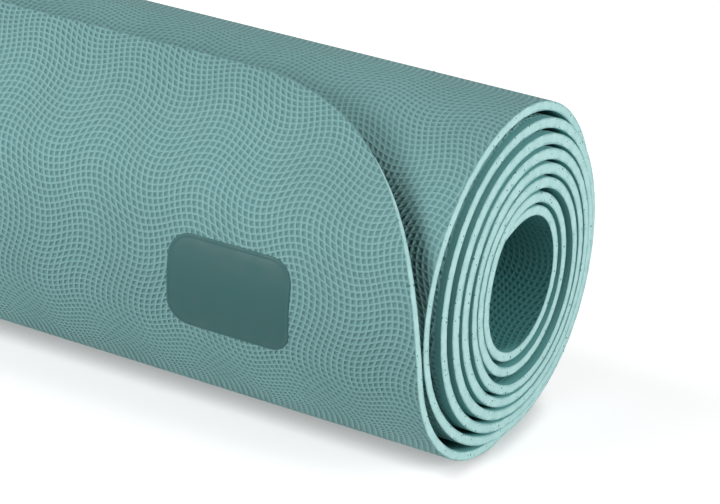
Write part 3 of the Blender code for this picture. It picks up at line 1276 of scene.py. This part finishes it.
    def build(self) -> FlatMesh:
        """Make the closed flat mesh: the face, its back, the cut edge and the seams.

        Returns:
            The mesh's arrays.
        """
        across, along, relief = self.lattice()
        distance, near_across, near_along, held = self.outline(across, along)
        outside = distance > TINY
        across, along = np.where(outside, near_across, across), np.where(outside, near_along, along)
        relief = np.where(outside, self.net.rim_relief, relief)
        seams = []
        if self.start > 0 and not self.cut_start:
            seams.append(0)
        if self.end < self.winding.length and not self.cut_end:
            seams.append(-1)
        quads, strip = self.face_quads(outside, seams)
        used, quads = np.unique(quads, return_inverse=True)
        quads = quads.reshape(-1, 4)
        movable = (outside & ~held).ravel()[used]
        flat = self.spaced(np.column_stack([across.ravel()[used], along.ravel()[used]]), quads, movable)
        row_of = used // across.shape[1]
        on_seam = np.isin(row_of, [(row_of.min(), row_of.max())[seam] for seam in seams])
        on_cut = (held & (distance > -TINY)).ravel()[used]
        self.square_corners(flat, on_cut)
        return self.close(FacePlan(flat, relief.ravel()[used], quads, strip, on_seam, on_cut))

    def face_quads(self, outside: np.ndarray, seams: Sequence[int]) -> tuple[np.ndarray, np.ndarray]:
        """Quads of the face that touch the sheet.

        Args:
            outside: Where the lattice lies outside the sheet's outline.
            seams: Rows of the lattice that lie on a seam.

        Returns:
            The quads, and the strip of the baking map that each is in.
        """
        rows, columns = outside.shape
        number = np.arange(rows * columns).reshape(rows, columns)
        for row in seams:
            inside = np.flatnonzero(~outside[row])
            number[row] = number[row, np.clip(np.arange(columns), inside[0] - 1, inside[-1] + 1)]
        corners = [number[:-1, :-1], number[1:, :-1], number[1:, 1:], number[:-1, 1:]]
        quads = np.stack(corners, axis=-1).reshape(-1, 4)
        kept = ~outside.ravel()[quads].all(axis=1)
        strip = (np.tile(np.arange(columns - 1), rows - 1)[kept] * self.strips) // (columns - 1)
        return quads[kept], strip

    def square_corners(self, flat: np.ndarray, on_cut: np.ndarray) -> None:
        """Move the outermost points of each straight cut to the cut's own corners.

        Args:
            flat: Places of the face's points, which are changed.
            on_cut: Points on a straight cut.
        """
        half = self.winding.width / 2 - self.rim.inset
        for cut, along in ((self.cut_start, self.start), (self.cut_end, self.end)):
            points = np.flatnonzero(on_cut & (np.abs(flat[:, 1] - along) < self.net.pitch / 4))
            if cut and len(points):
                for side in (-1, 1):
                    flat[points[np.argmax(side * flat[points, 0])]] = (side * half, along)

    @staticmethod
    def border(quads: np.ndarray) -> np.ndarray:
        """Edges that belong to one quad only, in that quad's direction.

        Args:
            quads: The quads.

        Returns:
            The two points of each edge.
        """
        edges = np.concatenate([quads[:, [0, 1]], quads[:, [1, 2]], quads[:, [2, 3]], quads[:, [3, 0]]])
        size = np.int64(quads.max()) + 1
        code, back = edges[:, 0] * size + edges[:, 1], edges[:, 1] * size + edges[:, 0]
        return edges[~np.isin(code, back)]

    def spaced(self, flat: np.ndarray, quads: np.ndarray, movable: np.ndarray) -> np.ndarray:
        """Spread the points of the outline, which crowd where the net's lines cross it aslant.

        Args:
            flat: Places of the face's points.
            quads: The face's quads.
            movable: Points that were drawn in to the outline, away from the straight cuts.

        Returns:
            The places, with the outline's points evenly apart.
        """
        if self.grid is Grid.PLAIN:
            return flat
        edges = self.border(quads)
        before, after = np.full(len(flat), -1), np.full(len(flat), -1)
        after[edges[:, 0]] = edges[:, 1]
        before[edges[:, 1]] = edges[:, 0]
        free = np.flatnonzero((before >= 0) & (after >= 0) & movable)
        free = free[movable[before[free]] & movable[after[free]]]
        flat = flat.copy()
        for _ in range(self.spacing_rounds):
            middle = (flat[before[free]] + flat[after[free]]) / 2
            moved = (flat[free] + middle) / 2
            moved += self.outwards(moved[:, 0], moved[:, 1]) * self.net.pitch / 4
            _, across, along, _ = self.outline(moved[:, 0], moved[:, 1])
            flat[free] = np.column_stack([across, along])
        return flat

    def close(self, plan: FacePlan) -> FlatMesh:
        """Give the face its back, its cut edge and its seams.

        Args:
            plan: The face.

        Returns:
            The mesh's arrays.
        """
        half = self.winding.thickness / 2
        flat, quads = plan.flat, plan.quads
        made = FlatMesh()
        top = made.add_points(np.column_stack([flat, half - plan.depth]))
        bottom = made.add_points(np.column_stack([flat, plan.depth - half - self.winding.swell(flat[:, 1])]))
        at_end, at_start = quads[:, 1] == quads[:, 2], quads[:, 0] == quads[:, 3]
        for chosen, corners in (
            (~at_end & ~at_start, [0, 1, 2, 3]),
            (at_end & ~at_start, [0, 1, 3]),
            (at_start & ~at_end, [0, 1, 2]),
        ):
            faces, strips = quads[chosen][:, corners], plan.strip[chosen]
            sheet = flat[faces]
            made.add_faces(faces + top, Layer.FACE, sheet, self.bake_faces(sheet, strips, 0))
            faces, sheet = faces[:, ::-1], sheet[:, ::-1]
            made.add_faces(faces + bottom, Layer.BACK, sheet, self.bake_faces(sheet, strips, 1))
        border = self.border(quads)
        joined = self.closes_end(plan, border)
        walls, rims = border[joined], border[~joined]
        self.add_rim(made, flat, rims, bottom)
        self.add_walls(made, flat, walls, rims, bottom)
        on_seam = np.flatnonzero(plan.on_seam)
        rings = [ring[plan.on_seam[self.ring_points]] for ring in self.rings[1:-1]]
        self.seam_points = np.concatenate([on_seam, on_seam + bottom, *rings])
        return made

    def closes_end(self, plan: FacePlan, border: np.ndarray) -> np.ndarray:
        """Whether border edges run along a seam or a cut, and not down the side of a narrow stretch.

        Args:
            plan: The face.
            border: The edges.

        Returns:
            One answer for each edge.
        """
        along = plan.flat[:, 1]
        near_start = np.abs(along - self.start) < np.abs(along - self.end)
        same_end = near_start[border[:, 0]] == near_start[border[:, 1]]
        return same_end & (plan.on_seam[border].all(axis=1) | plan.on_cut[border].all(axis=1))

    def edge_place(self, flat: np.ndarray) -> np.ndarray:
        """Place along the sheet's edge, for the foam's map, with the two sides far apart."""
        return flat[:, 1] + np.abs(flat[:, 0]) + np.where(flat[:, 0] > 0, self.far_side, 0.0)

    def add_rim(self, made: FlatMesh, flat: np.ndarray, rims: np.ndarray, bottom: int) -> None:
        """Add the cut edge.

        Args:
            made: The mesh's arrays.
            flat: Places of the face's points.
            rims: Border edges that lie on the sheet's own outline.
            bottom: Number of the back's first point.
        """
        points = np.unique(rims)
        place = self.edge_place(flat[points])
        out = self.outwards(flat[points, 0], flat[points, 1])
        waver = self.rim.wavering(place)
        swell = self.winding.swell(flat[points, 1])
        self.ring_points = points
        self.rings = [points]
        for reach, depth, swollen in zip(self.rim.outs, self.rim.depths, self.rim.swollen):
            spread = flat[points] + out * (reach * MM + waver)[:, None]
            height = self.winding.thickness / 2 - depth * MM - swollen * swell
            first = made.add_points(np.column_stack([spread, height]))
            self.rings.append(first + np.arange(len(points)))
        self.rings.append(points + bottom)
        depths = [0.0, *[depth * MM for depth in self.rim.depths], self.winding.thickness]
        ends = np.searchsorted(points, rims)
        for ring, (here, there) in enumerate(zip(self.rings[:-1], self.rings[1:])):
            faces = np.column_stack([here[ends[:, [1, 0]]], there[ends[:, [0, 1]]]])
            level = np.repeat(depths[ring : ring + 2], 2)
            made.add_faces(faces, self.rim.layer(ring), *self.rim_maps(place, ends, level))

    def rim_maps(self, place: np.ndarray, ends: np.ndarray, level: np.ndarray) -> tuple[np.ndarray, ...]:
        """The two maps of one ring of the cut edge.

        Args:
            place: Places of the edge's points along it.
            ends: The two points of each face's edge.
            level: Depth under the face at each corner of a face.

        Returns:
            The sheet's own map and the map for baking.
        """
        far = place > self.far_side
        side = far[ends[:, 0]][:, None]
        span = place.max() - place.min() - (self.far_side if far.any() else 0.0)
        start = np.where(side, place[far].min() if far.any() else 0.0, place.min())
        along = place[ends[:, [1, 0, 0, 1]]]
        share = (along - start) / (max(span, self.least_span) + self.least_span)
        long_margin, deep_margin = self.band_margins
        band = (1.0 - self.bake_edge) / 2
        depth = band * within(level / self.winding.thickness, deep_margin)
        sheet = np.stack([along, np.broadcast_to(level, along.shape)], axis=-1)
        row = self.bake_edge + np.where(side, band, 0.0) + depth
        return sheet, np.stack([within(np.clip(share, 0, 1), long_margin), row], axis=-1)

    def add_walls(
        self, made: FlatMesh, flat: np.ndarray, walls: np.ndarray, rims: np.ndarray, bottom: int
    ) -> None:
        """Close the mesh along its seams and cuts.

        Args:
            made: The mesh's arrays.
            flat: Places of the face's points.
            walls: Border edges on a seam or cut.
            rims: Border edges on the sheet's own outline.
            bottom: Number of the back's first point.
        """
        faces = np.stack([walls[:, 1], walls[:, 0], walls[:, 0] + bottom, walls[:, 1] + bottom], axis=1)
        made.add_faces(faces, Layer.FOAM, *self.wall_maps(flat, faces, bottom))
        for point in np.intersect1d(walls, rims):
            at = np.searchsorted(self.ring_points, point)
            profile = [int(ring[at]) for ring in self.rings]
            steps = np.arange(len(profile))
            face = np.array([profile if point in walls[:, 0] else profile[::-1]])
            pairs = np.tile(flat[point], (1, len(profile), 1))
            pairs[0, :, 1] += steps * self.cap_step
            centre = np.array([self.cap_place[0], self.bake_edge - self.cap_place[1]])
            bake = centre + np.column_stack([np.cos(steps), np.sin(steps)]) * self.cap_size
            made.add_faces(face, Layer.FOAM, pairs, bake)

    def wall_maps(self, flat: np.ndarray, faces: np.ndarray, bottom: int) -> tuple[np.ndarray, np.ndarray]:
        """The two maps of the walls that close the seams.

        Args:
            flat: Places of the face's points.
            faces: The walls.
            bottom: Number of the back's first point.

        Returns:
            The sheet's own map and the map for baking.
        """
        under = faces >= bottom
        across = flat[np.where(under, faces - bottom, faces)][..., 0]
        sheet = np.stack([across, np.where(under, self.winding.thickness, 0.0)], axis=-1)
        share = within(across / self.winding.width + 0.5, self.length_margin)
        upper, lower = self.wall_levels
        return sheet, np.stack([share, self.bake_edge - np.where(under, lower, upper)], axis=-1)

    def bake_faces(self, sheet: np.ndarray, strip: np.ndarray, level: int) -> np.ndarray:
        """Map for baking the face or the back, laid out in strips so that the net stays sharp.

        Args:
            sheet: The sheet's own map, one pair for each corner.
            strip: Strip of each face.
            level: 0 for the face and 1 for the back.

        Returns:
            One pair for each corner.
        """
        low, high = self.start - 3 * self.net.long_wave, self.end + 3 * self.net.long_wave
        pad, step = 3 * self.net.round_wave, self.winding.width / self.strips
        left = -self.winding.width / 2 + strip[:, None] * step - pad
        across = np.clip((sheet[..., 0] - left) / (step + 2 * pad), 0, 1)
        along = np.clip((sheet[..., 1] - low) / (high - low), 0, 1)
        height = (self.bake_edge - self.bake_gap) / (2 * self.strips)
        place = (level * self.strips + strip[:, None] + within(along, self.length_margin)) * height
        return np.stack([within(across, self.strip_margin), place], axis=-1)

    @property
    def flat_size(self) -> Span:
        """Width and length of the stretch when it is laid out flat."""
        return (self.winding.width, self.end - self.start)

    @property
    def flat_area(self) -> float:
        """Flat area, without what the round corners take away.

        Returns:
            The area in square metres.
        """
        lost = 2 * (1 - math.pi / 4) * self.winding.corner_radius**2
        corner = self.start <= 0 or self.end >= self.winding.length
        return self.flat_size[0] * self.flat_size[1] - (lost if corner else 0.0)


class NormalMatcher:
    """Gives neighbouring stretches the same shading where they meet."""

    def __init__(self, weld: float = 0.02 * MM) -> None:
        """Start with no stretches.

        Args:
            weld: How near each other points count as one.
        """
        self.weld = weld
        self.sums: list[np.ndarray] = []
        self.places: list[np.ndarray] = []
        self.stretches: list[Stretch] = []

    def add(self, stretch: Stretch) -> None:
        """Take in a wound stretch.

        Args:
            stretch: The stretch.
        """
        mesh = stretch.piece.data
        places = np.empty(len(mesh.vertices) * 3, np.float32)
        mesh.vertices.foreach_get("co", places)
        places = places.reshape(-1, 3).astype(float)
        starts = np.empty(len(mesh.polygons), np.int32)
        sizes = np.empty(len(mesh.polygons), np.int32)
        mesh.polygons.foreach_get("loop_start", starts)
        mesh.polygons.foreach_get("loop_total", sizes)
        corners = np.empty(len(mesh.loops), np.int32)
        mesh.loops.foreach_get("vertex_index", corners)
        wall = np.zeros(len(mesh.vertices), bool)
        wall[stretch.seam_points] = True
        chosen = starts[sizes == 4]
        quads = corners[chosen[:, None] + np.arange(4)]
        quads = quads[~wall[quads].all(axis=1)]
        a, b, c, d = (places[quads[:, corner]] for corner in range(4))
        normals = np.cross(c - a, d - b)
        sums = np.zeros_like(places)
        for corner in range(4):
            for axis in range(3):
                sums[:, axis] += np.bincount(quads[:, corner], normals[:, axis], len(places))
        self.stretches.append(stretch)
        self.sums.append(sums)
        self.places.append(places)

    def finish(self) -> None:
        """Add up the normals of points that lie on each other, and set them on the meshes."""
        shared: dict[tuple[int, int, int], np.ndarray] = {}
        keys: list[list[tuple[int, int, int]]] = []
        for stretch, sums, places in zip(self.stretches, self.sums, self.places):
            rounded = np.round(places[stretch.seam_points] / self.weld).astype(int)
            own = [tuple(row) for row in rounded]
            keys.append(own)
            for key, normal in zip(own, sums[stretch.seam_points]):
                shared[key] = shared.get(key, np.zeros(3)) + normal
        for stretch, sums, own in zip(self.stretches, self.sums, keys):
            for point, key in zip(stretch.seam_points, own):
                sums[point] = shared[key]
            sums /= np.maximum(np.linalg.norm(sums, axis=1, keepdims=True), 1e-20)
            stretch.piece.data.normals_split_custom_set_from_vertices(sums.tolist())


@dataclass
class Sheet:
    """The wound sheet: the free edge, the front wrap, the roll's outer turns and its core."""

    winding: Winding
    net: WavyNet
    finishes: FinishSet
    rim: RimProfile = field(default_factory=RimProfile)
    edge_fold: Span = (66.0, 30.0)
    edge_seam: float = 72.0
    wrap_fold: Span = (166.0, 114.0)
    wrap_middle: float = 126.0
    wrap_seam: float = 180.0
    dense_end: float = 500.0
    dense_pieces: int = 6
    core_length: float = 0.080
    pore_density: float = 75000.0
    pore_radii: Span = (0.10 * MM, 0.36 * MM)
    pore_flatness: float = 0.18
    first_seed: int = 7
    seed_step: int = 50

    def stretches(self) -> list[tuple[Stretch, Body]]:
        """Plan of all stretches, from the outer end inwards.

        Returns:
            Each stretch with the body that its inner part belongs to.
        """
        at = self.winding.length_at_angle
        total = self.winding.length
        common = (self.winding, self.net, self.rim)
        seams = [at(self.edge_seam), at(self.wrap_middle), at(self.wrap_seam)]
        plan = [
            (Stretch("free_edge_flap", *common, 0.0, seams[0]), Body.FREE_EDGE),
            (Stretch("front_wrap_upper", *common, seams[0], seams[1]), Body.FRONT_WRAP),
            (Stretch("front_wrap_lower", *common, seams[1], seams[2]), Body.FRONT_WRAP),
        ]
        places = np.linspace(seams[2], at(self.dense_end), self.dense_pieces + 1)
        for index, (first, last) in enumerate(zip(places[:-1], places[1:])):
            cut = index == self.dense_pieces - 1
            name = f"roll_outer_{index + 1}"
            plan.append((Stretch(name, *common, float(first), float(last), cut_end=cut), Body.ROLL))
        core = total - self.core_length
        middle = (core + total) / 2
        hidden = (float(places[-1]), core, Grid.PLAIN, True, True)
        plan.append((Stretch("roll_inner_turns", *common, *hidden, strips=1), Body.ROLL))
        plan.append((Stretch("roll_core_first", *common, core, middle, cut_start=True), Body.ROLL))
        plan.append((Stretch("roll_core_last", *common, middle, total), Body.ROLL))
        return plan

    def hold(self, piece: bpy.types.Object, body: Body) -> None:
        """Let a piece ride on the roll, or else apply its transform to its mesh.

        Args:
            piece: The piece.
            body: The body that its stretch belongs to.
        """
        place = self.winding.place
        if body is Body.ROLL:
            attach(piece, Body.ROLL.value)
        elif body is Body.FRONT_WRAP:
            start, end = (place(angle) for angle in self.wrap_fold)
            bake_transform(piece)
        else:
            start, end = (place(angle) for angle in self.edge_fold)
            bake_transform(piece)

    def scatter(
        self, tree: PoreTree, wound: Sequence[bpy.types.Object], name: str, seed: int
    ) -> bpy.types.Object:
        """Scatter pores over the cut foam of several wound pieces.

        Args:
            tree: The tree that scatters them.
            wound: The pieces.
            name: Name of the piece that holds the pores.
            seed: Seed of the scattering.

        Returns:
            The piece.
        """
        values = {
            "Density": self.pore_density,
            "Least Radius": self.pore_radii[0],
            "Most Radius": self.pore_radii[1],
            "Flatness": self.pore_flatness,
            "Pore": self.finishes.pore_shade,
        }
        parts = []
        for index, piece in enumerate(wound):
            part = add_object(f"{name}_part_{index}", piece.data.copy())
            parts.append(tree.apply(part, {**values, "Seed": seed + index}))
        with bpy.context.temp_override(active_object=parts[0], selected_editable_objects=parts):
            bpy.ops.object.join()
        parts[0].name = name
        return parts[0]

    def make(self, wind: WindTree) -> list[bpy.types.Object]:
        """Make, wind, dress and hold every stretch, and scatter the pores.

        Args:
            wind: The tree that winds a flat mesh.

        Returns:
            The pieces.
        """
        plan, tree, matcher = self.stretches(), PoreTree(), NormalMatcher()
        dressing = (self.finishes.face, self.finishes.foam, self.finishes.back)
        for stretch, body in plan:
            stretch.piece = wind.wind(stretch.build().build(stretch.name), *dressing)
            matcher.add(stretch)
            log.info("%s: %d faces on %s", stretch.name, len(stretch.piece.data.polygons), body.value)
        wind.clear()
        pores = {}
        for index, body in enumerate(Body):
            wound = [stretch.piece for stretch, owner in plan if owner is body]
            seed = self.first_seed + self.seed_step * index
            pores[body] = self.scatter(tree, wound, f"{body.value}_pores", seed)
        matcher.finish()
        nodes = {
            "free_edge_flap": ("free_edge_face_skin", "free_edge_foam_core", "free_edge_back_skin"),
            "front_wrap_upper": ("front_wrap_face_skin", "front_wrap_foam_core", "front_wrap_back_skin"),
            "roll_outer_1": ("roll_face_skin", "roll_foam_core", "roll_back_skin"),
        }
        for stretch, body in plan:
            self.hold(stretch.piece, body)
            if stretch.name in nodes:
                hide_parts(*nodes[stretch.name])
        for body, piece in pores.items():
            self.hold(piece, body)
            log.info("%s: %d faces on %s", piece.name, len(piece.data.polygons), body.value)
        return [stretch.piece for stretch, _ in plan] + list(pores.values())


@dataclass
class PressedPatch:
    """The smooth patch pressed into the face: a plain rounded rectangle with a soft border."""

    winding: Winding
    finishes: FinishSet
    length: float = 0.040
    height: float = 0.028
    corner: float = 0.007
    setback: float = 0.0605
    angle: float = 85.0
    levels: tuple[Span, ...] = (
        (0.0, -0.22),
        (0.0, 0.02),
        (0.12, 0.10),
        (0.35, 0.16),
        (0.80, 0.16),
        (1.05, 0.09),
        (1.30, 0.09),
        (1.60, 0.13),
        (4.00, 0.14),
        (6.90, 0.14),
    )
    corner_steps: int = 12
    side_steps: int = 40
    bake_room: float = 4 * MM

    def ring(self, inset: float) -> np.ndarray:
        """Outline of the patch, drawn in by a distance, with as many points at every distance.

        Args:
            inset: The distance.

        Returns:
            Places across and along, from the patch's middle.
        """
        length, height, radius = self.length / 2 - inset, self.height / 2 - inset, self.corner - inset
        corners = []
        for quarter, (across, along) in enumerate(((1, 1), (-1, 1), (-1, -1), (1, -1))):
            centre = np.array([across * (length - radius), along * (height - radius)])
            angle = (quarter + np.linspace(0, 1, self.corner_steps + 1)) * math.pi / 2
            corners.append(centre + radius * np.column_stack([np.cos(angle), np.sin(angle)]))
        share = np.linspace(0, 1, self.side_steps + 1)[1:-1, None]
        points = []
        for here, ahead in zip(corners, corners[1:] + corners[:1]):
            points += [here, here[-1] + (ahead[0] - here[-1]) * share]
        return np.concatenate(points)

    def bake(self, spots: np.ndarray) -> np.ndarray:
        """Map for baking, by the place from the patch's middle."""
        return spots / (np.array([self.length, self.height]) + self.bake_room) + 0.5

    def fill(self, made: FlatMesh, ring: np.ndarray, middle: np.ndarray, top: bool) -> None:
        """Fill a ring with quads that run across the patch, so that its middle bends with the roll.

        Args:
            made: The mesh's arrays.
            ring: Numbers of the ring's points.
            middle: Middle of the patch on the flat sheet.
            top: Whether the fill faces outwards.
        """
        spots = np.concatenate(made.points)[:, :2] - middle
        half, side = len(ring) // 2, self.side_steps // 2 + 1
        start = int(np.argmax(spots[ring, 1] - np.abs(spots[ring, 0]) * MM))
        left = np.roll(ring, -start)[: half + 1]
        right = np.roll(ring[::-1], start + 1)[: half + 1]
        cuts = [0, *range(side, half - side + 1), half]
        for first, last in zip(cuts[:-1], cuts[1:]):
            face = list(dict.fromkeys([*right[first : last + 1], *left[first : last + 1][::-1]]))
            face = np.array([face if top else face[::-1]])
            made.add_faces(face, Layer.FACE, spots[face] + middle, self.bake(spots[face]))

    def make(self, wind: WindTree) -> bpy.types.Object:
        """Make the patch on the front wrap.

        Args:
            wind: The tree that winds a flat mesh.

        Returns:
            The piece.
        """
        middle = np.array([self.winding.width / 2 - self.setback, self.winding.length_at_angle(self.angle)])
        made = FlatMesh()
        rings = []
        for inset, level in self.levels:
            ring = self.ring(inset * MM) + middle
            height = np.full(len(ring), self.winding.thickness / 2 + level * MM)
            rings.append(made.add_points(np.column_stack([ring, height])) + np.arange(len(ring)))
        spots = np.concatenate(made.points)[:, :2]
        for lower, upper in zip(rings[:-1], rings[1:]):
            faces = np.stack([lower, upper, np.roll(upper, -1), np.roll(lower, -1)], axis=1)
            made.add_faces(faces, Layer.FACE, spots[faces], self.bake(spots[faces] - middle))
        for ring, top in ((rings[-1], True), (rings[0], False)):
            self.fill(made, ring, middle, top)
        piece = wind.wind(made.build("pressed_patch_smooth"), *[self.finishes.patch] * len(Layer))
        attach(piece, Body.FRONT_WRAP.value)
        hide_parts("pressed_patch")
        log.info("%s: %d faces on %s", piece.name, len(piece.data.polygons), Body.FRONT_WRAP.value)
        return piece


@dataclass(frozen=True)
class Lamp:
    """A soft round lamp: where it stands, its power, what it looks at and its size."""

    name: str
    place: Place
    power: float
    aim: Place = (0.2, 0.0, 0.06)
    size: float = 0.8

    def hang(self) -> None:
        """Put the lamp in the scene, turned to what it looks at."""
        data = bpy.data.lights.new(self.name, "AREA")
        data.shape = "DISK"
        data.size = self.size
        data.energy = self.power
        made = add_object(self.name, data)
        made.location = self.place
        way = np.array(self.aim) - np.array(self.place)
        across = math.hypot(way[0], way[1])
        made.rotation_euler = (math.atan2(across, -way[2]), 0.0, math.atan2(-way[0], way[1]))


@dataclass
class Studio:
    """The pale floor, the soft light and the camera at the photograph's angle."""

    floor_size: float = 14.0
    floor_level: float = 0.60
    floor_glow: float = 0.69
    painted_shadow_glow: float = 0.18
    painted_shadow_depth: float = 0.0075
    far_reach: Span = (0.45, 1.10)
    ambient: float = 0.08
    camera_place: Place = (0.6832, -0.6915, 0.4666)
    camera_turn: Place = (62.803, 0.0, 31.633)
    camera_lens: float = 160.0
    camera_sensor: float = 36.0
    camera_clip: Span = (0.01, 50.0)
    lamps: tuple[Lamp, ...] = (
        Lamp("key_lamp", (-0.523, -1.552, 0.616), 20.8),
        Lamp("side_lamp", (-1.053, -0.221, 1.333), 16.4),
        Lamp("end_lamp", (1.880, 0.000, 0.705), 24.0),
    )

    @staticmethod
    def seen(bench: NodeBench) -> Any:
        """One where the camera looks straight, through or by a reflection, and nothing for the light.

        Args:
            bench: Bench of the tree that needs it.

        Returns:
            The output socket.
        """
        path = bench.add("ShaderNodeLightPath").outputs
        mirrored = bench.math("MAXIMUM", path["Is Camera Ray"], path["Is Glossy Ray"])
        return bench.math("MAXIMUM", mirrored, path["Is Transmission Ray"])

    def make_floor(self) -> None:
        """Make the floor, which looks white, keeps the mat's shadow, has a painted contact shadow where its
        glow dims near the mat, and is brighter far away.
        """
        half = self.floor_size / 2
        mesh = bpy.data.meshes.new("studio_floor")
        corners = [(-half, -half, 0), (half, -half, 0), (half, half, 0), (-half, half, 0)]
        mesh.from_pydata(corners, [], [(0, 1, 2, 3)])
        material, bench = new_material("studio_white")
        # Painted contact shadow: the glow seen by the camera dims where the floor is occluded near the mat.
        open_air = bench.add("ShaderNodeAmbientOcclusion", {"Distance": self.painted_shadow_depth}).outputs["AO"]
        glow_with_painted_shadow = bench.ramp(open_air, 0.0, 1.0, self.painted_shadow_glow, self.floor_glow)
        place = bench.add("ShaderNodeTexCoord").outputs["Object"]
        away = bench.add("ShaderNodeVectorMath", {0: place}, operation="LENGTH").outputs["Value"]
        glow = bench.math("ADD", glow_with_painted_shadow, bench.ramp(away, *self.far_reach, 0.0, 1.0 - self.floor_glow))
        inputs = {
            "Base Color": (self.floor_level, self.floor_level, self.floor_level, 1),
            "Roughness": 1.0,
            "Specular IOR Level": 0.0,
            "Emission Color": (1, 1, 1, 1),
            "Emission Strength": bench.math("MULTIPLY", self.seen(bench), glow),
        }
        bench.dress("Principled BSDF", inputs)
        mesh.materials.append(material)
        floor = add_object("studio_floor", mesh)

    def make_world(self) -> None:
        """Make the even light of the room, with a white background."""
        world = bpy.data.worlds.new("studio_room")
        world.use_nodes = True
        bench = NodeBench(world.node_tree)
        strength = bench.ramp(self.seen(bench), 0.0, 1.0, self.ambient, 1.0)
        bench.dress("Background", {"Color": (1, 1, 1, 1), "Strength": strength})
        bpy.context.scene.world = world

    def make_camera(self) -> None:
        """Place the camera where the photograph was taken from."""
        data = bpy.data.cameras.new("photo_camera")
        data.lens = self.camera_lens
        data.sensor_width = self.camera_sensor
        data.clip_start, data.clip_end = self.camera_clip
        camera = add_object("photo_camera", data)
        camera.location = self.camera_place
        camera.rotation_euler = [math.radians(angle) for angle in self.camera_turn]
        bpy.context.scene.camera = camera

    def make(self) -> None:
        """Set up the whole studio."""
        self.make_floor()
        self.make_world()
        for lamp in self.lamps:
            lamp.hang()
        self.make_camera()
        bpy.context.scene.view_settings.view_transform = "Standard"


def main() -> None:
    """Build the mat's pieces in order, then the studio."""
    logging.basicConfig(level=logging.INFO, format="%(name)s %(message)s")
    winding, net = Winding(), WavyNet()
    finishes, wind = FinishSet(net), WindTree(winding)
    PressedPatch(winding, finishes).make(wind)
    pieces = Sheet(winding, net, finishes).make(wind)
    log.info("%d pieces of the sheet", len(pieces))
    Studio().make()


if __name__ == "__main__":
    main()
